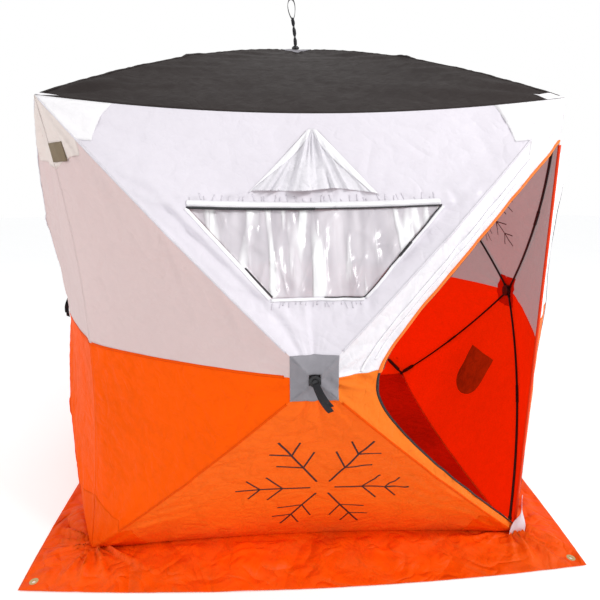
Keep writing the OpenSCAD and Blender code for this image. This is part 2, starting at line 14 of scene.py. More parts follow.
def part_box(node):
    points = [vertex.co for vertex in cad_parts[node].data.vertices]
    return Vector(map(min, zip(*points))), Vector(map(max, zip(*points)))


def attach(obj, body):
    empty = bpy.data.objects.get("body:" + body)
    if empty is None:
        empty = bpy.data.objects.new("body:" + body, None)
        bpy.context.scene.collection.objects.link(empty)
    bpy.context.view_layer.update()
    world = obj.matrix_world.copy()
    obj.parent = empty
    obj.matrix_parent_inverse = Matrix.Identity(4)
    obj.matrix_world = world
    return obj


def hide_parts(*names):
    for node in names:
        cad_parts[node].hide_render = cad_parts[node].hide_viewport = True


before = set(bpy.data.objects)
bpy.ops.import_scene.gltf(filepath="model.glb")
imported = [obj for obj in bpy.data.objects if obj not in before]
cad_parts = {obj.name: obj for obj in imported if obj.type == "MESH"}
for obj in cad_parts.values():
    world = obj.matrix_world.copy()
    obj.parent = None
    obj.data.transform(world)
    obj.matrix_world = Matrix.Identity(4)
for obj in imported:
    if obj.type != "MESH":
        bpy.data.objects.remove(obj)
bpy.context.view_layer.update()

FINE = 1.0

# ---- Sizes of the hut ----

FLOOR_W, EAVE_H, HUB_PUSH, ROOF_RISE = 1.750, 1.714, 0.343, 0.378
POLE_BOW, PANEL_BOW = 0.045, 0.018
EAVE_DRAW, EDGE_DRAW, FOOT_DRAW = 0.046, 0.060, 0.042
FOOT_Z = 0.0033
SEAM = 0.0003
HOLE_U = 0.03
POLE_INSET = 0.015
DOOR_HEAD, DOOR_SILL, DOOR_REACH, DOOR_GAP, HEM_D = 0.095, 0.022, 0.24, 0.007, 0.010
DOOR_OPEN = math.radians(215)
HINGE_GAP = 0.0054
WINDOW_LOW, WINDOW_H, WINDOW_LOW_W, WINDOW_TOP_W = 0.257, 0.297, 0.284, 0.795
VENT_UP, VENT_H, VENT_W, VENT_TIP = 0.056, 0.240, 0.404, 0.030
HOOD_LIFT, HOOD_LAP = 0.034, 0.014
HUB_PATCH = 0.079
PATCH_L, PATCH_W, PATCH_NARROW = 0.215, 0.235, 0.058
TAG_L, TAG_LOW, TAG_HIGH = 0.086, 1.506, 1.566
SKIRT_IN, SKIRT_OUT, SKIRT_SWELL = 0.863, 1.065, 0.050
EYELET_AT, EYELET_HOLE = 1.027, 0.0095
CLOTH_T, LAID_T, TRIM_T, TAPE_T = 0.0012, 0.0014, 0.0008, 0.0006
LAID_Z = 0.0030

PANEL_L = math.hypot(EAVE_H / 2, HUB_PUSH)
SIDE_L = math.hypot(FLOOR_W / 2, HUB_PUSH)
ROOF_L = math.hypot(FLOOR_W / 2, ROOF_RISE)
POLE_L = math.sqrt((FLOOR_W / 2) ** 2 + HUB_PUSH ** 2 + (EAVE_H / 2) ** 2)
ROOF_POLE_L = math.sqrt(2 * (FLOOR_W / 2) ** 2 + ROOF_RISE ** 2)
EDGE_U = 1 - SEAM / PANEL_L

UP = np.array([0.0, 0.0, 1.0])
OUT = np.array([[0, -1, 0], [1, 0, 0], [0, 1, 0], [-1, 0, 0], [0, 0, 1]], float)
CORNERS = [(-1, -1), (1, -1), (1, 1), (-1, 1)]
FRONT, RIGHT_WALL, BACK, LEFT_WALL, ROOF = range(5)
TOP, RIGHT, BOTTOM, LEFT = range(4)
DOOR_CORNER = 1


# ---- Camera, lights and floor ----

CAMERA_AT = (-0.1078, -2.4980, 1.4061)
CAMERA_LENS = 27.586
CAMERA_TURN = (-2.870, 13.195, 0.239)


def place_camera():
    yaw, pitch, roll = (math.radians(turn) for turn in CAMERA_TURN)
    right = Vector((math.cos(yaw), math.sin(yaw), 0))
    ahead = Vector((-math.sin(yaw), math.cos(yaw), 0))
    forward = math.cos(pitch) * ahead - math.sin(pitch) * Vector(UP)
    up = math.sin(pitch) * ahead + math.cos(pitch) * Vector(UP)
    right, up = (math.cos(roll) * right - math.sin(roll) * up,
                 math.sin(roll) * right + math.cos(roll) * up)
    data = bpy.data.cameras.new("camera")
    data.sensor_width = 36
    data.lens = CAMERA_LENS
    camera = bpy.data.objects.new("camera", data)
    facing = Matrix((right, up, -forward)).transposed().to_4x4()
    camera.matrix_world = Matrix.Translation(CAMERA_AT) @ facing
    bpy.context.scene.collection.objects.link(camera)
    bpy.context.scene.camera = camera


def soft_light(name, place, aim, size, power, colour):
    data = bpy.data.lights.new(name, "AREA")
    data.shape = "DISK"
    data.size = size
    data.energy = power
    data.color = colour
    lamp = bpy.data.objects.new(name, data)
    lamp.location = place
    lamp.rotation_euler = (Vector(aim) - Vector(place)).to_track_quat("-Z", "Y").to_euler()
    bpy.context.scene.collection.objects.link(lamp)


AIR_LIGHT = 0.71
# Name, place, aim, size, power and colour
LIGHTS = (("key_light", (3.6, -3.0, 3.9), (0.1, -0.8, 0.9), 1.2, 132, (1.0, 0.99, 0.98)),
          ("side_light", (-3.6, -2.6, 2.6), (-0.4, -0.6, 0.9), 1.6, 34, (1.0, 0.99, 0.98)),
          ("top_light", (0.2, 0.3, 4.8), (0, 0, 1.0), 3.0, 10, (1, 1, 1)))


def light_studio():
    world = bpy.data.worlds.new("studio_air")
    world.use_nodes = True
    tree = world.node_tree
    path = add(tree, "ShaderNodeLightPath")
    seen = add(tree, "ShaderNodeMapRange", {"Value": path.outputs["Is Camera Ray"],
                                            "To Min": AIR_LIGHT, "To Max": 1.0})
    tree.nodes["Background"].inputs["Color"].default_value = (1, 1, 1, 1)
    tree.links.new(seen.outputs["Result"], tree.nodes["Background"].inputs["Strength"])
    bpy.context.scene.world = world
    bpy.context.scene.view_settings.view_transform = "Standard"
    for settings in LIGHTS:
        soft_light(*settings)


# ---- Node helpers and shared effects ----

def feed(tree, node, values):
    """Link or set a node's inputs, by name or number."""
    for key, value in values.items():
        if isinstance(value, bpy.types.NodeSocket):
            tree.links.new(value, node.inputs[key])
        elif value is not None:
            node.inputs[key].default_value = value
    return node


def add(tree, kind, values=None, **settings):
    node = tree.nodes.new(kind)
    for key, value in settings.items():
        setattr(node, key, value)
    return feed(tree, node, values or {})


def group(name, inputs, outputs):
    tree = bpy.data.node_groups.new(name, "ShaderNodeTree")
    for label, kind, value in inputs:
        socket = tree.interface.new_socket(name=label, in_out="INPUT", socket_type=kind)
        socket.default_value = value
    for label, kind in outputs:
        tree.interface.new_socket(name=label, in_out="OUTPUT", socket_type=kind)
    return tree, tree.nodes.new("NodeGroupInput").outputs, tree.nodes.new("NodeGroupOutput")


def math_node(tree, operation, a, b=None):
    return add(tree, "ShaderNodeMath", {0: a, 1: b}, operation=operation).outputs[0]


def mix_colour(tree, share, a, b, blend="MIX"):
    return add(tree, "ShaderNodeMix", {0: share, 6: a, 7: b}, data_type="RGBA",
               blend_type=blend).outputs[2]


def spread(tree, value, low, high, to_low=0.0, to_high=1.0):
    node = add(tree, "ShaderNodeMapRange", {"Value": value, "From Min": low, "From Max": high,
                                            "To Min": to_low, "To Max": to_high})
    return node.outputs["Result"]


FLOAT, COLOUR = "NodeSocketFloat", "NodeSocketColor"
THREADS = 110.0


def make_cloth_weave():
    """Coated woven cloth: threads both ways, small crinkles and an uneven tone."""
    tree, given, out = group("cloth_weave", [
        ("Colour", COLOUR, (1, 1, 1, 1)), ("Deep Colour", COLOUR, (0.5, 0.5, 0.5, 1)),
        ("Thread Scale", FLOAT, 1.0), ("Crinkle", FLOAT, 1.0), ("Roughness", FLOAT, 0.5)],
        [("Colour", COLOUR), ("Roughness", FLOAT), ("Height", FLOAT)])
    place = add(tree, "ShaderNodeTexCoord")
    broad = add(tree, "ShaderNodeTexNoise", {"Vector": place.outputs["Object"], "Scale": 2.2,
                                             "Detail": 3.0, "Roughness": 0.55})
    fine = add(tree, "ShaderNodeTexNoise", {"Vector": place.outputs["Object"], "Scale": 26.0,
                                            "Detail": 4.0, "Roughness": 0.6, "Distortion": 0.6})
    bands = []
    for direction in ("X", "Y"):
        wave = add(tree, "ShaderNodeTexWave", {"Vector": place.outputs["UV"], "Scale": THREADS},
                   wave_type="BANDS", bands_direction=direction)
        bands.append(wave.outputs["Fac"])
    thread = math_node(tree, "MULTIPLY", math_node(tree, "MAXIMUM", *bands), given["Thread Scale"])
    tone = math_node(tree, "ADD", spread(tree, broad.outputs["Fac"], 0.35, 0.7, 0, 0.6),
                     spread(tree, fine.outputs["Fac"], 0.4, 0.7, 0, 0.4))
    deep = math_node(tree, "ADD", tone, math_node(tree, "MULTIPLY", thread, 0.08))
    tree.links.new(mix_colour(tree, deep, given["Colour"], given["Deep Colour"]), out.inputs["Colour"])
    uneven = spread(tree, fine.outputs["Fac"], 0.3, 0.7, -0.06, 0.06)
    rough = math_node(tree, "ADD", given["Roughness"], uneven)
    tree.links.new(rough, out.inputs["Roughness"])
    crease = math_node(tree, "MULTIPLY", fine.outputs["Fac"], given["Crinkle"])
    height = math_node(tree, "ADD", crease, math_node(tree, "MULTIPLY", thread, 0.10))
    tree.links.new(height, out.inputs["Height"])
    return tree


def make_crumple():
    """Sharp random creases, as in folded coated cloth laid out again."""
    tree, given, out = group("crumple", [("Scale", FLOAT, 6.0)], [("Height", FLOAT)])
    place = add(tree, "ShaderNodeTexCoord")
    total = None
    for times, share in ((1.0, 0.6), (2.3, 0.3), (5.1, 0.12)):
        scale = math_node(tree, "MULTIPLY", given["Scale"], times)
        grain = add(tree, "ShaderNodeTexNoise", {"Vector": place.outputs["Object"], "Scale": scale,
                                                 "Detail": 1.0, "Roughness": 0.5, "Distortion": 0.7})
        ridge = math_node(tree, "ABSOLUTE", math_node(tree, "SUBTRACT", grain.outputs["Fac"], 0.5))
        part = math_node(tree, "MULTIPLY", math_node(tree, "MINIMUM", ridge, 0.13), share * 6)
        total = part if total is None else math_node(tree, "ADD", total, part)
    tree.links.new(total, out.inputs["Height"])
    return tree


def make_snow_soil():
    """Damp and soil that the cloth picks up just above the ground: 1 where it is dirty."""
    tree, given, out = group("foot_soil", [("Reach", FLOAT, 0.2), ("Strength", FLOAT, 0.4)],
                             [("Mask", FLOAT)])
    place = add(tree, "ShaderNodeTexCoord")
    split = add(tree, "ShaderNodeSeparateXYZ", {"Vector": place.outputs["Object"]})
    near = spread(tree, split.outputs["Z"], 0.0, given["Reach"], 1, 0)
    blot = add(tree, "ShaderNodeTexNoise", {"Vector": place.outputs["Object"], "Scale": 9.0, "Detail": 5.0})
    dirty = math_node(tree, "MULTIPLY", near, spread(tree, blot.outputs["Fac"], 0.42, 0.68))
    tree.links.new(math_node(tree, "MULTIPLY", dirty, given["Strength"]), out.inputs["Mask"])
    return tree


def make_row_of_marks():
    """Marks in a row along a strip, such as stitches or zip teeth: 1 on a mark."""
    tree, given, out = group("row_of_marks", [
        ("Pitch", FLOAT, 0.004), ("Filled", FLOAT, 0.6), ("Off Centre", FLOAT, 0.0),
        ("Half Width", FLOAT, 0.0006)], [("Mask", FLOAT)])
    place = add(tree, "ShaderNodeTexCoord")
    split = add(tree, "ShaderNodeSeparateXYZ", {"Vector": place.outputs["UV"]})
    beat = math_node(tree, "FRACT", math_node(tree, "DIVIDE", split.outputs["X"], given["Pitch"]))
    on = math_node(tree, "LESS_THAN", beat, given["Filled"])
    off = math_node(tree, "ABSOLUTE", math_node(
        tree, "SUBTRACT", math_node(tree, "ABSOLUTE", split.outputs["Y"]), given["Off Centre"]))
    near = math_node(tree, "LESS_THAN", off, given["Half Width"])
    tree.links.new(math_node(tree, "MULTIPLY", on, near), out.inputs["Mask"])
    return tree


def make_scuffs():
    """Rubbed places and fine scratches on hard parts: colour share, roughness and height."""
    tree, given, out = group("scuffs", [("Scale", FLOAT, 30.0), ("Roughness", FLOAT, 0.4)],
                             [("Mask", FLOAT), ("Roughness", FLOAT), ("Height", FLOAT)])
    place = add(tree, "ShaderNodeTexCoord")
    grain = add(tree, "ShaderNodeTexNoise", {"Vector": place.outputs["Object"], "Scale": given["Scale"],
                                             "Detail": 6.0, "Roughness": 0.65})
    tree.links.new(spread(tree, grain.outputs["Fac"], 0.55, 0.8), out.inputs["Mask"])
    wear = spread(tree, grain.outputs["Fac"], 0.3, 0.75, -0.1, 0.15)
    tree.links.new(math_node(tree, "ADD", given["Roughness"], wear), out.inputs["Roughness"])
    tree.links.new(grain.outputs["Fac"], out.inputs["Height"])
    return tree


WEAVE, CRUMPLE, SOIL = make_cloth_weave(), make_crumple(), make_snow_soil()
MARKS, SCUFFS = make_row_of_marks(), make_scuffs()


def material(name):
    made = bpy.data.materials.new(name)
    made.use_nodes = True
    return made, made.node_tree, made.node_tree.nodes["Principled BSDF"]


def dye(colour, share):
    return tuple(c * share for c in colour[:3]) + (1,)


def cloth(name, colour, deep=0.9, roughness=0.5, crinkle=1.0, relief=0.0012, glow=None, glow_power=0.0,
          soil=0.0, gloss=0.25, stitch=None, crumple=0.0, crumple_scale=6.0):
    """Cloth finish; glow is painted light, an emission in the cloth's tint that stands in for daylight coming
    through the cloth and for light falling on it.
    """
    made, tree, skin = material(name)
    weave = add(tree, "ShaderNodeGroup", {"Colour": dye(colour, 1), "Deep Colour": dye(colour, deep),
                                          "Crinkle": crinkle, "Roughness": roughness}, node_tree=WEAVE)
    tint, height = weave.outputs["Colour"], weave.outputs["Height"]
    if soil:
        dirty = add(tree, "ShaderNodeGroup", {"Strength": soil}, node_tree=SOIL)
        tint = mix_colour(tree, dirty.outputs["Mask"], tint, (0.30, 0.16, 0.10, 1))
    if stitch:
        row = add(tree, "ShaderNodeGroup", {"Off Centre": stitch}, node_tree=MARKS)
        thread = math_node(tree, "MULTIPLY", row.outputs["Mask"], 0.55)
        tint = mix_colour(tree, thread, tint, dye(colour, 0.55))
        height = math_node(tree, "ADD", height, math_node(tree, "MULTIPLY", row.outputs["Mask"], 0.4))
    bump = add(tree, "ShaderNodeBump", {"Height": height, "Distance": relief, "Strength": 0.9})
    if crumple:
        creased = add(tree, "ShaderNodeGroup", {"Scale": crumple_scale}, node_tree=CRUMPLE)
        big = add(tree, "ShaderNodeBump", {"Height": creased.outputs["Height"], "Distance": crumple,
                                           "Strength": 1.0})
        feed(tree, bump, {"Normal": big.outputs["Normal"]})
    feed(tree, skin, {"Base Color": tint, "Roughness": weave.outputs["Roughness"],
                      "Normal": bump.outputs["Normal"], "Specular IOR Level": gloss})
    if glow:
        # painted light: the glow is an emission in the cloth's tint
        lit = mix_colour(tree, 1.0, tint, dye(glow, 1), "MULTIPLY")
        feed(tree, skin, {"Emission Color": lit, "Emission Strength": glow_power})
    return made


def hard(name, colour, roughness=0.4, metallic=0.0, scale=30.0, relief=0.0004, worn=None):
    made, tree, skin = material(name)
    marks = add(tree, "ShaderNodeGroup", {"Scale": scale, "Roughness": roughness}, node_tree=SCUFFS)
    rubbed = dye(worn, 1) if worn else dye(colour, 1.7)
    tint = mix_colour(tree, marks.outputs["Mask"], dye(colour, 1), rubbed)
    bump = add(tree, "ShaderNodeBump", {"Height": marks.outputs["Height"], "Distance": relief})
    feed(tree, skin, {"Base Color": tint, "Roughness": marks.outputs["Roughness"],
                      "Normal": bump.outputs["Normal"], "Metallic": metallic})
    return made


def zip_finish(name, colour):
    made, tree, skin = material(name)
    row = add(tree, "ShaderNodeGroup", {"Pitch": 0.003, "Filled": 0.55, "Half Width": 0.0022},
              node_tree=MARKS)
    weave = add(tree, "ShaderNodeGroup", {"Colour": dye(colour, 1), "Deep Colour": dye(colour, 0.7)},
                node_tree=WEAVE)
    tint = mix_colour(tree, row.outputs["Mask"], weave.outputs["Colour"], (0.05, 0.05, 0.055, 1))
    height = math_node(tree, "ADD", row.outputs["Mask"], weave.outputs["Height"])
    bump = add(tree, "ShaderNodeBump", {"Height": height, "Distance": 0.0006})
    rough = math_node(tree, "SUBTRACT", weave.outputs["Roughness"],
                      math_node(tree, "MULTIPLY", row.outputs["Mask"], 0.25))
    feed(tree, skin, {"Base Color": tint, "Roughness": rough, "Normal": bump.outputs["Normal"]})
    return made


def clear_film(name):
    """Clear vinyl, milky and nearly opaque, its colour partly painted light of the lit inside behind it, with
    painted highlights on its upright creases.
    """
    made, tree, skin = material(name)
    place = add(tree, "ShaderNodeTexCoord")
    streaks = []
    for scale, turn, seed in (((1.6, 14.0, 1.0), 0.22, 0.0), ((1.5, 12.0, 1.0), -0.34, 4.0),
                              ((2.5, 14.0, 1.0), 0.05, 9.0)):
        lay = add(tree, "ShaderNodeMapping", {"Vector": place.outputs["UV"], "Location": (seed, seed, 0),
                                              "Rotation": (0, 0, turn), "Scale": scale})
        grain = add(tree, "ShaderNodeTexNoise", {"Vector": lay.outputs[0], "Scale": 1.6, "Detail": 1.0,
                                                 "Roughness": 0.35, "Distortion": 0.1})
        streaks.append(grain.outputs["Fac"])
    # painted highlight: near-white streaks on the creases
    painted_highlight = math_node(tree, "MAXIMUM", spread(tree, streaks[0], 0.58, 0.66),
                       spread(tree, streaks[1], 0.59, 0.66))
    # the milky tone is partly the film's own and partly painted light of the lit inside seen through it
    milky_tone_and_painted_light = mix_colour(tree, spread(tree, streaks[2], 0.35, 0.68), (0.62, 0.59, 0.64, 1),
                      (0.83, 0.79, 0.84, 1))
    tint = mix_colour(tree, painted_highlight, milky_tone_and_painted_light, (0.97, 0.97, 0.99, 1))
    height = math_node(tree, "ADD", math_node(tree, "ADD", streaks[0], streaks[1]),
                       math_node(tree, "MULTIPLY", painted_highlight, 0.35))
    bump = add(tree, "ShaderNodeBump", {"Height": height, "Distance": 0.012, "Strength": 0.9})
    dense = math_node(tree, "ADD", spread(tree, streaks[2], 0.3, 0.7, 0.80, 0.88),
                      math_node(tree, "MULTIPLY", painted_highlight, 0.12))
    feed(tree, skin, {"Base Color": tint, "Roughness": spread(tree, streaks[2], 0.3, 0.7, 0.18, 0.30),
                      "Alpha": dense, "Normal": bump.outputs["Normal"], "Coat Weight": 0.15,
                      "Coat Roughness": 0.15})
    return made


def net(name, colour):
    """Fine net drawn as a raised grid."""
    made, tree, skin = material(name)
    place = add(tree, "ShaderNodeTexCoord")
    holes = add(tree, "ShaderNodeTexBrick", {"Vector": place.outputs["UV"], "Scale": 300.0,
                                             "Color1": (0, 0, 0, 1), "Color2": (0, 0, 0, 1),
                                             "Mortar": (1, 1, 1, 1), "Mortar Size": 0.24,
                                             "Brick Width": 1.0, "Row Height": 1.0}, offset=0.5)
    tint = mix_colour(tree, holes.outputs["Color"], dye(colour, 0.5), dye(colour, 1))
    bump = add(tree, "ShaderNodeBump", {"Height": holes.outputs["Color"], "Distance": 0.0005})
    feed(tree, skin, {"Base Color": tint, "Normal": bump.outputs["Normal"], "Roughness": 0.7})
    return made


def floor_finish():
    made, tree, skin = material("studio_floor")
    place = add(tree, "ShaderNodeTexCoord")
    soft = add(tree, "ShaderNodeTexNoise", {"Vector": place.outputs["Object"], "Scale": 1.5, "Detail": 3.0})
    tint = mix_colour(tree, soft.outputs["Fac"], (0.84, 0.85, 0.86, 1), (0.88, 0.88, 0.88, 1))
    path = add(tree, "ShaderNodeLightPath")
    lit = spread(tree, path.outputs["Is Camera Ray"], 0, 1, 0.12, 0.42)
    feed(tree, skin, {"Base Color": tint, "Roughness": 0.85, "Emission Color": tint,
                      "Emission Strength": lit})
    return made


white_cloth = cloth("white_cloth", (0.76, 0.725, 0.79), deep=0.93, roughness=0.46, crumple=0.004,
                    crumple_scale=4.5)
# painted shade: a darker, pinker copy of the white cloth for the shaded left wall and front left quarter
white_painted_shade = cloth("white_cloth_painted_shade", (0.72, 0.57, 0.56), deep=0.95, roughness=0.5, gloss=0.1, crumple=0.004)
# painted light: a lighter copy of the white cloth for the lit doorway strip
white_painted_light = cloth("white_doorway_painted_light", (0.86, 0.84, 0.885), deep=0.93, roughness=0.46, crumple=0.006,
                    crumple_scale=5)
hood_cloth = cloth("vent_hood_cloth", (0.80, 0.78, 0.83), deep=0.88, roughness=0.5, crinkle=1.5, relief=0.002,
                   crumple=0.005, crumple_scale=9)
# painted shade and painted light: the inner face is a darker, pinker copy of the white cloth, and glows
white_inside_painted_shade_and_light = cloth("white_cloth_inside_painted_shade_and_light", (0.44, 0.37, 0.37), deep=0.92, roughness=0.6, gloss=0.05,
                     glow=(1.0, 0.98, 0.98), glow_power=0.52, crumple=0.004)
orange_cloth = cloth("orange_cloth", (0.98, 0.105, 0.001), deep=0.86, roughness=0.5, gloss=0.03, soil=0.10,
                     crumple=0.007, glow=(1.0, 0.7, 0.1), glow_power=0.09)
# painted light: a lighter, yellower copy of the orange cloth for the lit front foot panel
orange_painted_light = cloth("orange_front_painted_light", (0.98, 0.150, 0.010), deep=0.86, roughness=0.5, gloss=0.06,
                     soil=0.10, crumple=0.009, glow=(1.0, 0.7, 0.3), glow_power=0.07)
# painted light: a lighter copy of the orange cloth for the lit lower doorway strip
orange_doorway_painted_light = cloth("orange_doorway_cloth_painted_light", (0.98, 0.21, 0.020), deep=0.86, roughness=0.5, gloss=0.06,
                     crumple=0.008)
# painted shade and painted light: the inner face is a darker, redder copy of the orange cloth, and glows
orange_inside_painted_shade_and_light = cloth("orange_cloth_inside_painted_shade_and_light", (0.88, 0.024, 0.0003), deep=0.84, roughness=0.6, gloss=0.02,
                      glow=(1.0, 0.95, 0.5), glow_power=0.52, crumple=0.005)
# painted light: lighter copies of the white and orange cloth, glowing on both faces of the open door
door_white_painted_light = cloth("door_white_cloth", (0.90, 0.88, 0.92), deep=0.95, roughness=0.5, glow=(1.0, 1.0, 1.0),
                   glow_power=0.25, crumple=0.004)
door_orange_painted_light = cloth("door_orange_cloth", (0.98, 0.15, 0.010), deep=0.88, roughness=0.5, gloss=0.05,
                    glow=(1.0, 1.0, 1.0), glow_power=0.18, crumple=0.006)
ground_cloth = cloth("ground_sheet_cloth", (0.40, 0.006, 0.0005), deep=0.6, roughness=0.7, gloss=0.02,
                     crinkle=1.6, glow=(1.0, 0.8, 0.4), glow_power=0.72, crumple=0.03, crumple_scale=3.0)
roof_cloth = cloth("roof_cloth_charcoal", (0.033, 0.026, 0.025), deep=0.8, roughness=0.55, gloss=0.12,
                   crumple=0.0025)
roof_inside = cloth("roof_cloth_inside", (0.04, 0.032, 0.03), deep=0.8, roughness=0.7)
skirt_cloth = cloth("skirt_cloth", (0.98, 0.105, 0.002), deep=0.80, roughness=0.42, gloss=0.12, crinkle=1.6,
                    relief=0.002, soil=0.06, crumple=0.034, crumple_scale=2.2)
binding = cloth("white_binding", (0.93, 0.92, 0.95), deep=0.92, roughness=0.55, stitch=0.006)
white_seam = cloth("white_seam_tape", (0.79, 0.76, 0.82), deep=0.93, roughness=0.5, stitch=0.003)
lining_patch = cloth("red_hub_lining", (0.62, 0.012, 0.001), deep=0.8, roughness=0.6, gloss=0.03,
                     glow=(1.0, 0.9, 0.5), glow_power=0.35)
orange_seam = cloth("orange_seam_tape", (0.95, 0.095, 0.002), deep=0.90, roughness=0.5, gloss=0.03,
                    stitch=0.003)
roof_seam = cloth("charcoal_seam_tape", (0.036, 0.028, 0.027), deep=0.85, roughness=0.55, stitch=0.003)
piping = cloth("orange_piping", (1.0, 0.22, 0.03), deep=0.85, roughness=0.5)
hem_binding = cloth("red_orange_hem", (0.95, 0.06, 0.008), deep=0.85, roughness=0.5)
patch_grey = cloth("grey_patch_cloth", (0.30, 0.29, 0.32), deep=0.8, roughness=0.45, crinkle=1.8,
                   relief=0.002)
patch_white = cloth("white_patch_cloth", (0.90, 0.885, 0.91), deep=0.94, roughness=0.5, crumple=0.005)
# painted shade: a darker, pinker copy of the white patch cloth for the patches on the shaded left
patch_white_painted_shade = cloth("white_patch_painted_shade", (0.80, 0.71, 0.67), deep=0.94, roughness=0.5, gloss=0.1, crumple=0.005)
# painted shade: a darker copy of the white cloth for the shade in the window's tucks
tuck_painted_shade = cloth("tuck_shade", (0.68, 0.65, 0.71), deep=0.92, roughness=0.6)
patch_orange = cloth("orange_patch_cloth", (0.97, 0.105, 0.002), deep=0.88, roughness=0.5, gloss=0.04,
                     crumple=0.006)
tag_cloth = cloth("olive_tag", (0.25, 0.19, 0.12), deep=0.8, roughness=0.6)
pocket_cloth = cloth("pocket_net_red", (0.24, 0.010, 0.001), deep=0.45, roughness=0.7, gloss=0.05,
                     glow=(1.0, 1.0, 0.4), glow_power=1.15)
# painted shadow: dark strokes where the outside print blocks the light coming through, seen from inside
print_shadow = cloth("print_painted_shadow", (0.17, 0.085, 0.085), deep=0.8, roughness=0.6, gloss=0.05)
webbing = cloth("black_webbing", (0.020, 0.020, 0.024), deep=0.6, roughness=0.55, crinkle=0.6)
film = clear_film("clear_window_film")
vent_net = net("black_vent_net", (0.05, 0.05, 0.055))
zip_black = zip_finish("black_zip", (0.012, 0.012, 0.014))
ink = cloth("printed_ink", (0.055, 0.022, 0.02), deep=0.7, roughness=0.5)
pole_black = hard("black_pole", (0.016, 0.015, 0.016), roughness=0.34, scale=60)
plastic = hard("black_hub_plastic", (0.018, 0.018, 0.020), roughness=0.42, scale=90)
brass = hard("brass_eyelet", (0.72, 0.55, 0.27), roughness=0.3, metallic=1.0, scale=50,
             worn=(0.85, 0.72, 0.45))


# ---- The stretched surface, as in the part ----

def corner(i, top, o=0.0):
    x, y = CORNERS[i % 4]
    return np.array([x * (FLOOR_W / 2 + o), y * (FLOOR_W / 2 + o), EAVE_H + o if top else FOOT_Z])


def hub_at(k, o=0.0):
    if k == ROOF:
        return (EAVE_H + ROOF_RISE + o) * UP
    return (FLOOR_W / 2 + HUB_PUSH + o) * OUT[k] + EAVE_H / 2 * UP


def edge_pull(i):
    return 0.0 if i % 4 == DOOR_CORNER else EDGE_DRAW


def panel(k, g, o):
    if k == ROOF:
        return corner(g + 1, True, o), corner(g, True, o), -EAVE_DRAW * (OUT[g] + UP)
    if g == TOP:
        return corner(k, True, o), corner(k + 1, True, o), -EAVE_DRAW * (OUT[k] + UP)
    if g == RIGHT:
        return (corner(k + 1, True, o), corner(k + 1, False, o),
                -edge_pull(k + 1) * (OUT[k] + OUT[(k + 1) % 4]))
    if g == BOTTOM:
        return corner(k + 1, False, o), corner(k, False, o), -FOOT_DRAW * OUT[k]
    return corner(k, False, o), corner(k, True, o), -edge_pull(k) * (OUT[k] + OUT[(k + 3) % 4])


def field(*parts):
    """Arrays as the columns of one, each spread to their common shape."""
    return np.stack(np.broadcast_arrays(*parts), -1)


def smooth(x):
    x = np.clip(x, 0, 1)
    return x * x * (3 - 2 * x)


def lattice(cell, seed):
    h = (cell[..., 0] * 374761393 + cell[..., 1] * 668265263 + cell[..., 2] * 2246822519
         + seed * 3266489917) & 0xFFFFFFFF
    h = ((h ^ (h >> 13)) * 1274126177) & 0xFFFFFFFF
    return ((h ^ (h >> 16)) & 0xFFFF) / 32767.5 - 1


def noise(p, size, seed):
    """Smooth random height from -1 to 1, with bumps about size apart; size may differ by axis."""
    q = np.asarray(p, float) / np.asarray(size, float) + 100.0
    cell = np.floor(q).astype(np.int64)
    f = q - cell
    f = f * f * (3 - 2 * f)
    total = 0.0
    for dx in (0, 1):
        for dy in (0, 1):
            for dz in (0, 1):
                w = ((f[..., 0] if dx else 1 - f[..., 0]) * (f[..., 1] if dy else 1 - f[..., 1])
                     * (f[..., 2] if dz else 1 - f[..., 2]))
                total = total + w * lattice(cell + np.array([dx, dy, dz]), seed)
    return total


def crease(p, size, seed, sharp=3.0):
    return (1 - np.abs(noise(p, size, seed))) ** sharp


def folds_from(centre, p, n, count, reach, seed):
    """Folds that run out from a point, fading with distance."""
    side = np.cross(n, [0.36, 0.48, 0.80])
    side /= np.linalg.norm(side)
    away = p - centre
    x, y = away @ side, away @ np.cross(n, side)
    r = np.sqrt(x * x + y * y) + 1e-6
    ring = np.stack([x / r * count / 6, y / r * count / 6, r / 0.6], -1)
    return noise(ring, 1.0, seed) * smooth(r / 0.09) * np.exp(-r / reach)


def shape(k, g, u, v, o=0.0):
    """Point on a panel without its wrinkles."""
    u, v = np.broadcast_arrays(np.asarray(u, float), np.asarray(v, float))
    a, b, pull = panel(k, g, o)
    h = hub_at(k, o)
    swell = 4 * v * (1 - v)
    flat = h + u[..., None] * (a + (b - a) * v[..., None] - h)
    return (flat + (u * u * swell)[..., None] * pull
            + (4 * u * (1 - u) * (POLE_BOW + (PANEL_BOW - POLE_BOW) * swell))[..., None] * OUT[k])


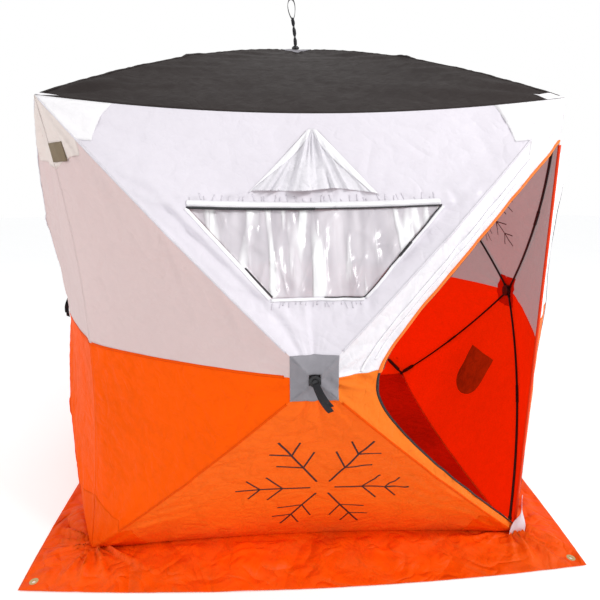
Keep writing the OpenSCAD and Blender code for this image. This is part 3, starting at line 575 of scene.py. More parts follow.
def wrinkle(k, g, u, v):
    """How far the cloth stands off its panel: billows, folds from its corners, creases."""
    u, v = np.broadcast_arrays(np.asarray(u, float), np.asarray(v, float))
    p = shape(k, g, u, v)
    seed = 10 * k + g
    a, b, _ = panel(k, g, 0.0)
    wide = np.linalg.norm(b - a)
    across = np.minimum(v, 1 - v) * u * wide
    held = smooth((1 - u) / 0.06) * smooth(across / 0.07) * smooth((u - HOLE_U) / 0.08)
    d = 0.0090 * noise(p, 0.34, seed) + 0.0030 * noise(p, 0.12, seed + 1)
    for n, c in enumerate((a, b)):
        d = d + 0.0190 * folds_from(c, p, OUT[k], 44, 0.36, seed + 2 + n)
    d = d + 0.0120 * folds_from(hub_at(k), p, OUT[k], 44, 0.24, seed + 4)
    x = (v - 0.5) * u * wide
    line = np.stack([x, u * PANEL_L, 0 * u], -1)
    d = d - 0.005 * crease(line, (0.16, 0.5, 1), seed + 5, 7) * smooth(noise(line, 0.3, seed + 6) + 0.6)
    # Long soft pulls that run in from the seams
    pull = np.stack([across, u * POLE_L + across * 0.55, 0 * u], -1)
    fade = np.exp(-across / 0.13) * smooth((u - 0.15) / 0.2)
    d = d + 0.0110 * noise(pull, (0.30, 0.055, 1), seed + 8) * fade
    if g == BOTTOM and k != ROOF:
        d = d + 0.006 * noise(line, (0.035, 0.2, 1), seed + 7) * smooth((u - 0.80) / 0.16)
    d = d * held
    pucker = 0.0012 * noise(np.stack([u * POLE_L, 0 * u, 0 * u], -1), 0.016, 70)
    d = d + pucker * np.exp(-(across / 0.018) ** 2) * smooth((1 - u) / 0.05)
    bump = np.exp(-((u - 0.5) * POLE_L / 0.045) ** 4 - (across / 0.014) ** 2)
    return d + 0.006 * bump * (1 + 0.5 * noise(p, 0.02, 71))


def spot(k, g, u, v, o=0.0, soft=1.0):
    """Point on the wrinkled cloth, lifted by o."""
    p = shape(k, g, u, v, o)
    return p + (soft * extra_wrinkle(k, g, u, v))[..., None] * OUT[k]


WINDOW_OFF, VENT_OFF = 0.016, 0.012
VENT_SHORT, VENT_SLIM = 0.018, 0.030
WINDOW_U0 = WINDOW_LOW / PANEL_L
WINDOW_U1 = (WINDOW_LOW + WINDOW_H) / PANEL_L
VENT_U0 = WINDOW_U1 + (VENT_UP + VENT_SHORT) / PANEL_L
VENT_U1 = WINDOW_U1 + (VENT_UP + VENT_H) / PANEL_L


def extra_wrinkle(k, g, u, v):
    """The front's own folds: gathers round the window, and lines beside the doorway."""
    d = wrinkle(k, g, u, v)
    if k != FRONT:
        return d
    u, v = np.broadcast_arrays(np.asarray(u, float), np.asarray(v, float))
    x = (v - 0.5) * u * FLOOR_W
    across = np.minimum(v, 1 - v) * u * FLOOR_W
    row = np.stack([x, 0 * u, 0 * u], -1)
    if g == TOP:
        for at, reach in ((WINDOW_U1 + 0.036, 0.020), (WINDOW_U0 - 0.030, 0.026)):
            gather = noise(row, 0.022, 80) + 0.9 * noise(row, 0.050, 81)
            d = d + 0.0060 * gather * np.exp(-((u - at) / reach) ** 2) * smooth(across / 0.05)
        held = np.exp(-((u - (WINDOW_U0 + WINDOW_U1) / 2) / 0.25) ** 4)
        beside = np.stack([across, u, 0 * u], -1)
        d = d + 0.008 * noise(beside, (0.034, 0.5, 1), 82) * held * smooth(across / 0.05)
    if g == RIGHT:
        beside = np.stack([across, u, 0 * u], -1)
        d = d + 0.007 * noise(beside, (0.034, 0.45, 1), 83) * smooth(across / 0.03) * smooth((1 - u) / 0.1)
    if g == BOTTOM:
        beside = np.stack([across, u, 0 * u], -1)
        held = (smooth(across / 0.03) * np.exp(-across / 0.17) * smooth((u - 0.35) / 0.2)
                * smooth((1 - u) / 0.08))
        d = d + 0.013 * noise(beside, (0.034, 0.30, 1), 84) * held * (0.35 + 0.65 * smooth((0.6 - v) / 0.3))
    return d


# ---- Meshes ----

def grid(points, uv, keep=None):
    return {"points": np.asarray(points, float), "uv": np.asarray(uv, float), "keep": keep}


WELD = 0.00005


def shown(name, grids, finishes, body="shelter", stands_for=(), thick=CLOTH_T,
          inner=None):
    """One object from grids of points; it thickens inwards, with its own finish inside."""
    verts, faces, uvs, start = [], [], [], 0
    for part in grids:
        p, uv, keep = part["points"], part["uv"], part["keep"]
        rows, cols = p.shape[:2]
        verts.append(p.reshape(-1, 3))
        uvs.append(uv.reshape(-1, 2))
        i, j = np.meshgrid(np.arange(rows - 1), np.arange(cols - 1), indexing="ij")
        a = start + i * cols + j
        cells = np.stack([a, a + 1, a + cols + 1, a + cols], -1)
        faces.append(cells[keep] if keep is not None else cells.reshape(-1, 4))
        start += rows * cols
    verts, faces, uvs = np.concatenate(verts), np.concatenate(faces), np.concatenate(uvs)
    mesh = bpy.data.meshes.new(name)
    mesh.from_pydata(verts.tolist(), [], faces.tolist())
    layer = mesh.uv_layers.new(name="metres")
    layer.data.foreach_set("uv", uvs[faces.reshape(-1)].astype(np.float32).ravel())
    work = bmesh.new()
    work.from_mesh(mesh)
    bmesh.ops.remove_doubles(work, verts=work.verts, dist=WELD)
    bmesh.ops.delete(work, geom=[v for v in work.verts if not v.link_faces], context="VERTS")
    for face in work.faces:
        face.smooth = True
    work.to_mesh(mesh)
    work.free()
    piece = bpy.data.objects.new(name, mesh)
    bpy.context.scene.collection.objects.link(piece)
    for finish in finishes:
        mesh.materials.append(finish)
    if thick:
        solid = piece.modifiers.new("thickness", "SOLIDIFY")
        solid.thickness = thick
        solid.offset = -1
        if inner:
            mesh.materials.append(inner)
            solid.material_offset = 1
    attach(piece, body)
    if stands_for:
        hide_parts(*stands_for)
    return piece


def count(n):
    return max(4, int(round(n * FINE)))


def between(a, b, n):
    return np.linspace(a, b, n + 1)


def cloth_uv(k, u, v):
    u, v = np.broadcast_arrays(u, v)
    return np.stack([u * PANEL_L, (v - 0.5) * u * FLOOR_W], -1)


def panel_grid(k, g, v0, v1, nu, nv, u0=HOLE_U, u1=EDGE_U):
    u = between(u0, u1, count(nu))[:, None]
    v = between(v0, v1, count(nv))[None, :]
    return grid(spot(k, g, u, v), cloth_uv(k, u, v))


POLES = {FRONT: "front_poles", RIGHT_WALL: "right_poles", BACK: "back_poles",
         LEFT_WALL: "left_poles", ROOF: "roof_poles"}


def add_wall_cloth():
    for k, side in ((RIGHT_WALL, "right"), (BACK, "back"), (LEFT_WALL, "left")):
        edge = 1 - HINGE_GAP / SIDE_L if k == DOOR_CORNER else EDGE_U
        upper = [panel_grid(k, TOP, 0, 1, 56, 64), panel_grid(k, RIGHT, 0, 0.5, 56, 32),
                 panel_grid(k, LEFT, 0.5, 1, 56, 32, u1=edge)]
        lower = [panel_grid(k, BOTTOM, 0, 1, 56, 64), panel_grid(k, RIGHT, 0.5, 1, 56, 32),
                 panel_grid(k, LEFT, 0, 0.5, 56, 32, u1=edge)]
        # the left wall takes the white cloth's painted-shade copy
        finish = white_painted_shade if k == LEFT_WALL else white_cloth
        top = shown(side + "_wall_white", upper, [finish],
                    stands_for=[side + "_wall_upper"], inner=white_inside_painted_shade_and_light)
        low = shown(side + "_wall_orange", lower, [orange_cloth],
                    stands_for=[side + "_wall_lower"], inner=orange_inside_painted_shade_and_light)
    left = [("front_left_white", "front_left_upper", 0.5, 1, white_painted_shade, white_inside_painted_shade_and_light, "cloth_white"),
            ("front_left_orange", "front_left_lower", 0, 0.5, orange_cloth, orange_inside_painted_shade_and_light, "cloth_orange")]
    for name, node, v0, v1, finish, inside, slot in left:
        grids = [panel_grid(FRONT, LEFT, v0, v1, 100, 50)]
        piece = shown(name, grids, [finish], stands_for=[node], inner=inside)
    grids = [panel_grid(FRONT, BOTTOM, 0, 1, 100, 110)]
    piece = shown("front_foot_panel", grids, [orange_painted_light],
                  stands_for=["front_panel_bottom"], inner=orange_inside_painted_shade_and_light)
    grids = [panel_grid(ROOF, g, 0, 1, 64, 64) for g in range(4)]
    piece = shown("roof_canopy", grids, [roof_cloth],
                  stands_for=["roof_cover"], inner=roof_inside)


# ---- Window and vent ----

def cut_middle(u):
    """Where the middle of the window and vent lies across the panel."""
    return np.interp(u, [HOLE_U, WINDOW_U0, WINDOW_U1, VENT_U0, 1],
                     [0.0, WINDOW_OFF, WINDOW_OFF, VENT_OFF, VENT_OFF])


def cut_half(u):
    return np.interp(u, [HOLE_U, WINDOW_U0, WINDOW_U1, VENT_U0, VENT_U1, 1],
                     [WINDOW_LOW_W / 2 * HOLE_U / WINDOW_U0, WINDOW_LOW_W / 2, WINDOW_TOP_W / 2,
                      VENT_W / 2 - VENT_SLIM, VENT_TIP / 2, VENT_TIP / 2])


def add_front_top():
    row_sets = [(HOLE_U, WINDOW_U0, 34), (WINDOW_U0, WINDOW_U1, 30), (WINDOW_U1, VENT_U0, 14),
                (VENT_U0, VENT_U1, 24), (VENT_U1, EDGE_U, 18)]
    us, cuts = [HOLE_U], []
    for a, b, n in row_sets:
        cuts.append(len(us) - 1)
        us.extend(between(a, b, count(n))[1:])
    cuts.append(len(us) - 1)
    u = np.array(us)[:, None]
    side, mid = count(46), count(104)
    c = cut_half(u) / (u * FLOOR_W)
    off = cut_middle(u) / (u * FLOOR_W)
    left = (0.5 + off - c) * between(0, 1, side)[None, :]
    middle = 0.5 + off - c + 2 * c * between(0, 1, mid)[None, 1:-1]
    right = 0.5 + off + c + (0.5 - off - c) * between(0, 1, side)[None, :]
    v = np.concatenate([left, middle, right], 1)
    u = np.broadcast_to(u, v.shape)
    keep = np.ones((v.shape[0] - 1, v.shape[1] - 1), bool)
    keep[cuts[1]:cuts[2], side:side + mid] = False
    keep[cuts[3]:cuts[4], side:side + mid] = False
    grids = [grid(spot(FRONT, TOP, u, v), cloth_uv(FRONT, u, v), keep)]
    piece = shown("front_top_panel", grids, [white_cloth],
                  stands_for=["front_panel_top"], inner=white_inside_painted_shade_and_light)


def place_on(k, g, along, across, o):
    """Point at a distance along the panel from its hub and across it from its middle line."""
    u = along / (ROOF_L if k == ROOF else PANEL_L if g in (TOP, BOTTOM) else SIDE_L)
    wide = EAVE_H if k != ROOF and g in (LEFT, RIGHT) else FLOOR_W
    return spot(k, g, u, 0.5 + across / (np.maximum(u, 0.01) * wide), o)


def distance_along(points):
    return np.concatenate([[0], np.cumsum(np.linalg.norm(np.diff(points, axis=0), axis=1))])


def run_of(points, n):
    """Evenly spaced points along a bent line."""
    points = np.asarray(points, float)
    s = distance_along(points)
    t = np.linspace(0, s[-1], n)
    return np.stack([np.interp(t, s, points[:, i]) for i in range(points.shape[1])], 1), t


def tape(k, g, line, width, lift, profile=((-1, 0), (-0.5, 1), (0.5, 1), (1, 0)), height=0.001,
         step=0.008, shift=0.0):
    """Strip along a line drawn on a panel as (along, across); profile is its raised cross-section."""
    spread_out, t = run_of(line, max(3, int(run_length(line) / step / max(FINE, 0.5))))
    ahead = np.gradient(spread_out, axis=0)
    ahead /= np.linalg.norm(ahead, axis=1)[:, None] + 1e-9
    side = np.stack([-ahead[:, 1], ahead[:, 0]], 1)
    rows = []
    for off, up in profile:
        q = spread_out + side * (shift + off * width / 2)
        rows.append(place_on(k, g, q[:, 0], q[:, 1], lift + up * height))
    p = np.stack(rows, 1)
    offs = np.array([off for off, _ in profile]) * width / 2
    uv = field(t[:, None], offs[None, :])
    return grid(p, uv)


def run_length(line):
    return float(np.linalg.norm(np.diff(np.asarray(line, float), axis=0), axis=1).sum())


ROUND = tuple((math.cos(math.pi * (1 - i / 6)), math.sin(math.pi * i / 6)) for i in range(7))
ZIP = ((-1, 0), (-0.35, 0.25), (-0.3, 0.9), (0, 1), (0.3, 0.9), (0.35, 0.25), (1, 0))


def window_corner(top, way):
    """Corner of the window as (along, across); way is -1 at the left and 1 at the right."""
    wide = WINDOW_TOP_W if top else WINDOW_LOW_W
    return WINDOW_LOW + WINDOW_H * top, WINDOW_OFF + way * wide / 2


def raised(point, distance):
    return point[0] + distance, point[1]


LOW_LEFT, LOW_RIGHT = window_corner(False, -1), window_corner(False, 1)
TOP_LEFT, TOP_RIGHT = window_corner(True, -1), window_corner(True, 1)


def add_window():
    # Film: hangs a little slack, with sharp upright crinkles
    u = between(WINDOW_U0 + 0.0002, WINDOW_U1 - 0.0002, count(50))[:, None]
    w = between(-1, 1, count(120))[None, :]
    half = cut_half(u) - 0.0004
    v = 0.5 + (cut_middle(u) + w * half) / (u * FLOOR_W)
    x, z = w * half, u * PANEL_L
    line = field(x + 0.25 * (z - 0.4) * x, z, 0 * u)
    folds = 0.004 * noise(line, (0.05, 0.16, 1), 92) + 0.0015 * noise(line, (0.016, 0.09, 1), 93)
    for n, lean in enumerate((-0.30, 0.22, 0.05)):
        slant = field(x + lean * z, z, 0 * u)
        folds = folds + 0.006 * crease(slant, (0.075, 0.30, 1), 90 + n, 7)
    held = smooth((u - WINDOW_U0) / 0.03) * smooth((WINDOW_U1 - u) / 0.02) * smooth((1 - np.abs(w)) / 0.05)
    p = spot(FRONT, TOP, u, v, -0.0035, soft=0.6) + ((folds - 0.006) * held)[..., None] * OUT[FRONT]
    sheet = [grid(p, cloth_uv(FRONT, u, v))]
    piece = shown("window_clear_film", sheet, [film], stands_for=["window_film"],
                  thick=TAPE_T)

    # Binding: a flat band above, narrow bias tape down the left side and along the foot
    grids = [tape(FRONT, TOP, [raised(TOP_LEFT, 0.013), raised(TOP_RIGHT, 0.013)], 0.021, 0.0012, height=0.0018,
                  step=0.004),
             tape(FRONT, TOP, [TOP_LEFT, LOW_LEFT], 0.011, 0.0010, ROUND, 0.0016, shift=0.005),
             tape(FRONT, TOP, [raised(LOW_LEFT, -0.007), raised(LOW_RIGHT, -0.007)], 0.011, 0.0012, height=0.002),
             tape(FRONT, TOP, [LOW_RIGHT, TOP_RIGHT], 0.010, 0.0010, height=0.0010, shift=0.008)]
    shown("window_white_binding", grids, [binding], stands_for=["window_binding"],
          thick=TRIM_T)

    # Black zip: a slot over the film's top edge, then down the right side to half of the foot. The slot is
    # widened at the left with painted shade of the gap under the film's slack top.
    half_foot = (LOW_RIGHT[0] - 0.001, WINDOW_OFF + 0.020)
    middle = raised((0, WINDOW_OFF), WINDOW_LOW + WINDOW_H - 0.0015)
    grids = [tape(FRONT, TOP, [raised(TOP_LEFT, -0.0035), middle], 0.0085, 0.0020, ZIP, 0.0015),
             tape(FRONT, TOP, [middle, raised(TOP_RIGHT, -0.0015)], 0.0045, 0.0020, ZIP, 0.0015),
             tape(FRONT, TOP, [TOP_RIGHT, LOW_RIGHT, half_foot], 0.0036, 0.0034, ZIP, 0.0014),
             # painted shade: a short black line for the shade along the lower left binding's fold
             tape(FRONT, TOP, [(WINDOW_LOW + 0.095, WINDOW_OFF - 0.222),
                               (WINDOW_LOW + 0.002, WINDOW_OFF - 0.140)],
                  0.005, 0.0006, ROUND, 0.001, shift=-0.002)]
    pull = [(LOW_RIGHT[0] + (TOP_RIGHT[0] - LOW_RIGHT[0]) * t,
             LOW_RIGHT[1] + (TOP_RIGHT[1] - LOW_RIGHT[1]) * t) for t in (0.43, 0.58)]
    grids.append(tape(FRONT, TOP, pull, 0.009, 0.0046, ROUND, 0.005, step=0.004))
    shown("window_black_zip", grids, [zip_black], stands_for=["window_zip"], thick=TRIM_T)


def add_tucks():
    """Small tucks where the cloth is drawn in along the window's bindings: low ridges whose darker colour is
    painted shade of the folds.
    """
    rng = np.random.default_rng(12)
    grids = []
    for start, end, way, n in ((TOP_LEFT, TOP_RIGHT, 1, 34), (LOW_LEFT, LOW_RIGHT, -1, 17)):
        for t in (np.arange(n) + rng.uniform(0.1, 0.9, n)) / n:
            along = start[0] + (0.026 if way > 0 else -0.015)
            across = start[1] + (end[1] - start[1]) * t
            length, lean = rng.uniform(0.006, 0.024), rng.uniform(-0.4, 0.4)
            line = [(along, across), (along + way * length, across + lean * length)]
            share = 1.0 - 0.6 * abs(2 * t - 1) if way > 0 else 1.0
            grids.append(tape(FRONT, TOP, line, 0.0030 + 0.003 * share * rng.uniform(), 0.0004,
                              ((-1, 0), (0, 1), (1, 0)), 0.0016, step=0.004))
    shown("window_tucks", grids, [tuck_painted_shade], thick=0.0004)


def add_vent():
    u = between(VENT_U0 + 0.0004, VENT_U1 - 0.0004, count(20))[:, None]
    w = between(-1, 1, count(24))[None, :]
    v = 0.5 + (cut_middle(u) + w * (cut_half(u) - 0.0004)) / (u * FLOOR_W)
    sheet = [grid(spot(FRONT, TOP, u, v, -0.0025, soft=0.8), cloth_uv(FRONT, u, v))]
    piece = shown("vent_black_net", sheet, [vent_net], stands_for=["vent_mesh"],
                  thick=0.0005)

    # Hood: gathered at its apex, its lower edge standing off the wall
    rows, cols = count(44), count(80)
    r, w = between(0, 1, rows)[:, None], between(-1, 1, cols)[None, :]
    sheet = [hood_grid(r, w, 0.0)]
    piece = shown("vent_hood_cloth", sheet, [hood_cloth], stands_for=["vent_hood"],
                  inner=white_inside_painted_shade_and_light)
    grids = []
    for side, foot_share, tip_share in ((-1, 0.02, 0.75), (1, 0.12, 0.85)):
        r = between(0, 0.985, rows)[:, None]
        share = (foot_share + (tip_share - foot_share) * r ** 1.6) * between(0, 1, 8)[None, :]
        lift = 0.0014 + 0.0012 * np.sin(math.pi * between(0, 1, 8))[None, :]
        strip = hood_grid(r, side * (1 - share), lift)
        grids.append(strip if side > 0 else grid(strip["points"][:, ::-1], strip["uv"][:, ::-1]))
    shown("vent_hood_binding", grids, [binding], thick=TRIM_T)


def hood_grid(r, w, lift):
    """Part of the hood: r runs from its open foot to its apex, w across it."""
    left = w < 0
    half = 0.011 + (VENT_W / 2 + HOOD_LAP - 0.011 - np.where(left, 0.012, 0.006)) * (1 - r)
    x = w * half
    foot = WINDOW_LOW + WINDOW_H + VENT_UP - HOOD_LAP
    drawn = 0.030 * np.maximum(1 - w * w, 0) ** 0.35 * (0.62 + 0.38 * np.exp(-((w - 0.35) / 0.35) ** 2))
    drawn = drawn + np.where(left, 0.012 * w * w, 0)
    along = foot + (VENT_H + 2 * HOOD_LAP - 0.008) * r + (1 - r) ** 2 * drawn
    p = place_on(FRONT, TOP, along, VENT_OFF + 0.004 * r + x, 0.0025)
    fan = field(x / (half + 0.03) * 1.2, r * 0.5, 0 * r)
    gather = 0.014 * noise(fan, (0.16, 0.6, 1), 96) + 0.011 * noise(fan, (0.07, 0.4, 1), 97)
    held = smooth((1 - np.abs(w)) / 0.35) * smooth((1.02 - r) / 0.25)
    off = HOOD_LIFT * 0.55 * (1 - r) ** 0.8 * (1 - w * w) + gather * held
    p = p + (np.maximum(off, 0.0) + lift)[..., None] * OUT[FRONT]
    return grid(p, field(along, x))


# ---- Doorway and door ----

def per_share(size):
    return size * POLE_L / (EAVE_H * SIDE_L)


HEAD_SHARE, SILL_SHARE, GAP_SHARE = per_share(DOOR_HEAD), per_share(DOOR_SILL), per_share(DOOR_GAP)
ROUND_SHARE = (DOOR_REACH - HEAD_SHARE - SILL_SHARE) / 2
HEM_U = 1 - (HEM_D / 2 + SEAM + 0.0001) / SIDE_L


def door_most(inset, u_end):
    x = (u_end - HEAD_SHARE - SILL_SHARE - 2 * inset) / (2 * ROUND_SHARE)
    return math.log(x + math.sqrt(x * x - 1))


def door_uv(w, inset=0.0, u_end=EDGE_U):
    e = np.exp(w * door_most(inset, u_end))
    low, high = HEAD_SHARE + inset + ROUND_SHARE * e, SILL_SHARE + inset + ROUND_SHARE / e
    return low + high, low / (low + high)


def door_middle(inset, u_end=EDGE_U):
    x = (SILL_SHARE - HEAD_SHARE) / (2 * ROUND_SHARE)
    return math.log(x + math.sqrt(x * x + 1)) / door_most(inset, u_end)


def add_door_frame():
    middle = door_middle(0)
    for name, node, w0, w1, pole_v, finish, inside, slot in (
            ("doorway_white_strip", "door_frame_upper", -1, middle, 0.0, white_painted_light, white_inside_painted_shade_and_light,
             "cloth_white"),
            ("doorway_orange_strip", "door_frame_lower", middle, 1, 1.0, orange_doorway_painted_light, orange_inside_painted_shade_and_light,
             "cloth_orange")):
        w = between(w0, w1, count(60))
        uu, vv = door_uv(w)
        tip = door_uv(-1.0 if pole_v == 0 else 1.0)[1]
        n = count(12)
        end_v = between(pole_v, tip, n)[:-1]
        if pole_v == 0:
            uu, vv = np.concatenate([np.full(n, EDGE_U), uu]), np.concatenate([end_v, vv])
        else:
            uu, vv = np.concatenate([uu, np.full(n, EDGE_U)]), np.concatenate([vv, end_v[::-1]])
        # Rows run from the pole line to the doorway's edge
        share = between(0, 1, count(60))[:, None]
        u = HOLE_U + (uu[None, :] - HOLE_U) * share
        v = np.broadcast_to(vv[None, :], u.shape)
        grids = [grid(spot(FRONT, RIGHT, u, v), cloth_uv(FRONT, u, v))]
        piece = shown(name, grids, [finish], stands_for=[node], inner=inside)


def edge_tape(w0, w1, inset, width, lift, profile, height, n):
    """Strip along the doorway's edge, between two of its parameters."""
    w = between(w0, w1, count(n))
    rows, offs = [], []
    for off, up in profile:
        uu, vv = door_uv(w, inset + per_share(off * width / 2))
        keep_u = np.minimum(uu, EDGE_U)
        rows.append(spot(FRONT, RIGHT, keep_u, vv, lift + up * height))
        offs.append(off * width / 2)
    p = np.stack(rows, 1)
    s = distance_along(p[:, 0])
    uv = field(s[:, None], np.array(offs)[None, :])
    return grid(p[:, ::-1], uv[:, ::-1])


def add_doorway_trim():
    middle = door_middle(0)
    grids = [edge_tape(-0.995, middle + 0.03, -per_share(0.003), 0.011, -0.001, ROUND, 0.006, 110)]
    shown("doorway_orange_piping", grids, [piping], thick=TRIM_T)
    grids = [edge_tape(-0.93, middle - 0.01, -per_share(0.052), 0.007, 0.0006, ROUND, 0.0035, 110),
             edge_tape(-0.90, middle - 0.10, -per_share(0.030), 0.005, 0.0004, ROUND, 0.0020, 110)]
    shown("doorway_white_welts", grids, [binding], thick=TRIM_T)
    grids = [edge_tape(middle, 0.995, -per_share(0.003), 0.0070, 0.0005, ZIP, 0.0025, 90),
             edge_tape(-0.995, middle, per_share(0.0035), 0.005, -0.003, ZIP, 0.002, 90)]
    shown("doorway_black_zip", grids, [zip_black], stands_for=["door_zip"], thick=TRIM_T)


HINGE = corner(DOOR_CORNER, True)
FACE_OUT = np.array([HUB_PUSH, -FLOOR_W / 2, 0]) / SIDE_L


def swing(p):
    c, s = math.cos(DOOR_OPEN), math.sin(DOOR_OPEN)
    x, y = p[..., 0] - HINGE[0], p[..., 1] - HINGE[1]
    return np.stack([HINGE[0] + c * x - s * y, HINGE[1] + s * x + c * y, p[..., 2]], -1)


def slack(u, v):
    swell = 4 * v * (1 - v)
    return u * 4 * u * (1 - u) * (POLE_BOW + (PANEL_BOW - POLE_BOW) * swell) * FLOOR_W / 2 / SIDE_L


def door_point(w, r, o, inset=GAP_SHARE):
    """Point of the open door: r runs from its zipped edge to the hem."""
    w, r = np.broadcast_arrays(np.asarray(w, float), np.asarray(r, float))
    u, v = door_uv(w, inset, HEM_U)
    top_v, low_v = door_uv(-1.0, inset, HEM_U)[1], door_uv(1.0, inset, HEM_U)[1]
    hem_v = top_v + (low_v - top_v) * (w + 1) / 2
    hem = shape(FRONT, RIGHT, HEM_U + 0 * w, hem_v) - slack(HEM_U, hem_v)[..., None] * FACE_OUT
    edge = shape(FRONT, RIGHT, u, v) - slack(u, v)[..., None] * FACE_OUT
    p = edge + (hem - edge) * r[..., None] + np.asarray(o)[..., None] * FACE_OUT
    return swing(p)


def door_ripple(w, r):
    """Soft waves of the limp door cloth and the curl of its upper edge, none at its hem."""
    curl = np.interp(w, [-1, -0.985, -0.96, -0.93, -0.9, -0.85, -0.8, -0.7, -0.5],
                     [0, -0.002, -0.012, -0.020, -0.0185, -0.0125, -0.0105, -0.0045, 0])
    curl = curl * smooth((1 - r) / 0.5)
    span = field(w * 0.8, r * 0.6, 0 * r)
    wave = 0.016 * noise(span, (0.22, 0.9, 1), 101) + 0.006 * noise(span, (0.07, 0.5, 1), 102)
    return curl + wave * smooth((1 - r) / 0.4) * smooth(r / 0.3) * smooth((1 - np.abs(w)) / 0.15)


DOOR_END = 0.985


def add_door():
    middle = door_middle(GAP_SHARE, HEM_U)
    halves = ((-DOOR_END, middle - 0.0005, "door_white_cloth", "door_panel_upper", door_white_painted_light,
               "cloth_white"),
              (middle + 0.0005, DOOR_END, "door_orange_cloth", "door_panel_lower", door_orange_painted_light,
               "cloth_orange"))
    for w0, w1, name, node, finish, slot in halves:
        w = between(w0, w1, count(50))[:, None]
        r = between(1, 0, count(50))[None, :]
        p = door_point(w, r, door_ripple(w, r))
        uv = field(w * 0.9, r * 0.7)
        grids = [grid(p, uv)]
        piece = shown(name, grids, [finish], body="door", stands_for=[node], inner=finish)
    # Zip half on the door's edge, seen from both faces
    w = between(-DOOR_END, DOOR_END, count(120))
    grids = []
    for way, lift, profile in ((1, 0.0004, ZIP), (-1, -0.0018, ZIP[::-1])):
        rows = []
        for off, high in profile:
            r = (0.006 + off * 0.005) / 0.7 + 0 * w
            rows.append(door_point(w, r, door_ripple(w, r) + way * high * 0.0015 + lift))
        p = np.stack(rows, 1)
        s = distance_along(p[:, 0])
        offs = np.array([off for off, _ in profile]) * 0.005
        grids.append(grid(p, field(s[:, None], offs[None, :])))
    shown("door_black_zip", grids, [zip_black], body="door", stands_for=["door_edge_zip"],
          thick=TAPE_T)
    # Hem: a sewn red-orange sleeve round the hinge line
    low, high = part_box("door_hem")
    z = between(low.z, high.z, count(90))[:, None]
    a = between(0, 2 * math.pi, 16)[None, :]
    ripple = 0.0004 * noise(field(z, np.cos(a), np.sin(a)), (0.03, 2, 2), 104)
    radius = HEM_D / 2 - 0.0006 + ripple
    p = field(HINGE[0] + radius * np.cos(a), HINGE[1] + radius * np.sin(a), z)
    uv = field(z, a * 0.005)
    shown("door_hem_binding", [grid(p[:, ::-1], uv[:, ::-1])], [hem_binding], body="door",
          stands_for=["door_hem"], thick=TRIM_T)


# ---- Seams, patches, tag, print and pocket ----

WALL_SEAM_W, SIDE_SEAM_W, ROOF_SEAM_W = 0.012, 0.010, 0.014
SEAM_FROM, SEAM_TO, SEAM_LIFT = 0.10, 0.985, 0.0006


def seam_strip(k, g, width):
    """Tape over the seam above a pole, bent over the two panels that meet there."""
    u = between(SEAM_FROM, SEAM_TO, count(90))
    rows = []
    other = (g + 3) % 4 if k == ROOF else (g + 1) % 4
    for off in (-1, -0.5, 0, 0.5, 1):
        gg = g if off <= 0 else other
        wide = EAVE_H if k != ROOF and gg in (LEFT, RIGHT) else FLOOR_W
        dv = abs(off) * width / 2 / (np.maximum(u, 0.06) * wide)
        v = 1 - dv if off <= 0 else dv
        rows.append(spot(k, gg, u, v, SEAM_LIFT + 0.0006 * (1 - abs(off))))
    p = np.stack(rows, 1)
    uv = field((u * POLE_L)[:, None], np.linspace(-1, 1, 5)[None, :] * width / 2)
    return grid(p, uv)


def add_seams():
    upper, lower, roof = [], [], []
    for k in range(4):
        upper.extend(seam_strip(k, g, WALL_SEAM_W) for g in (TOP, LEFT))
        lower.extend(seam_strip(k, g, WALL_SEAM_W) for g in (RIGHT, BOTTOM))
        for g in (LEFT, RIGHT):
            if (k, g) != (FRONT, RIGHT):
                line = [(SEAM_FROM, 0.0), (SIDE_L * SEAM_TO, 0.0)]
                lower.append(tape(k, g, line, SIDE_SEAM_W, 0.0004, height=0.0008))
    for g in range(4):
        roof.append(seam_strip(ROOF, g, ROOF_SEAM_W))
    shown("white_seam_tapes", upper, [white_seam], thick=TAPE_T)
    shown("orange_seam_tapes", lower, [orange_seam], thick=TAPE_T)
    shown("roof_seam_tapes", roof, [roof_seam], thick=TAPE_T)


def add_hub_patches():
    grids = []
    for k in range(5):
        length = ROOF_L if k == ROOF else PANEL_L
        u = between(0.02, HUB_PATCH / length, count(14))[:, None]
        for n in range(4):
            g = 3 - n if k == ROOF else n
            uu, vv = np.broadcast_arrays(u, between(0, 1, count(12))[None, :])
            x, y = (vv - 0.5) * uu * FLOOR_W, uu * length
            c, s = np.cos(n * math.pi / 2), np.sin(n * math.pi / 2)
            turn = np.stack([y * c - x * s, y * s + x * c, 0 * uu + k], -1)
            lift = 0.0022 + 0.0030 * np.maximum(noise(turn, (0.035, 0.05, 1), 110), -0.2) * smooth(
                (HUB_PATCH / length - uu) * length / 0.02)
            p = spot(k, g, uu, vv) + lift[..., None] * OUT[k]
            grids.append(grid(p, turn[..., :2]))
    shown("hub_patch_cloth", grids, [patch_grey], stands_for=["hub_patches"], thick=0.0012)


def add_hub_linings():
    """Red squares sewn inside the walls behind the hubs."""
    grids = []
    for k in (RIGHT_WALL, BACK, LEFT_WALL):
        for g in range(4):
            u = between(0.02, 1.12 * HUB_PATCH / PANEL_L, count(8))[:, None]
            v = between(0, 1, count(8))[None, :]
            p = spot(k, g, u, v) - (CLOTH_T + 0.0030) * OUT[k]
            grids.append(grid(p[:, ::-1], cloth_uv(k, u, v)[:, ::-1]))
    shown("hub_red_linings", grids, [lining_patch], thick=TRIM_T)


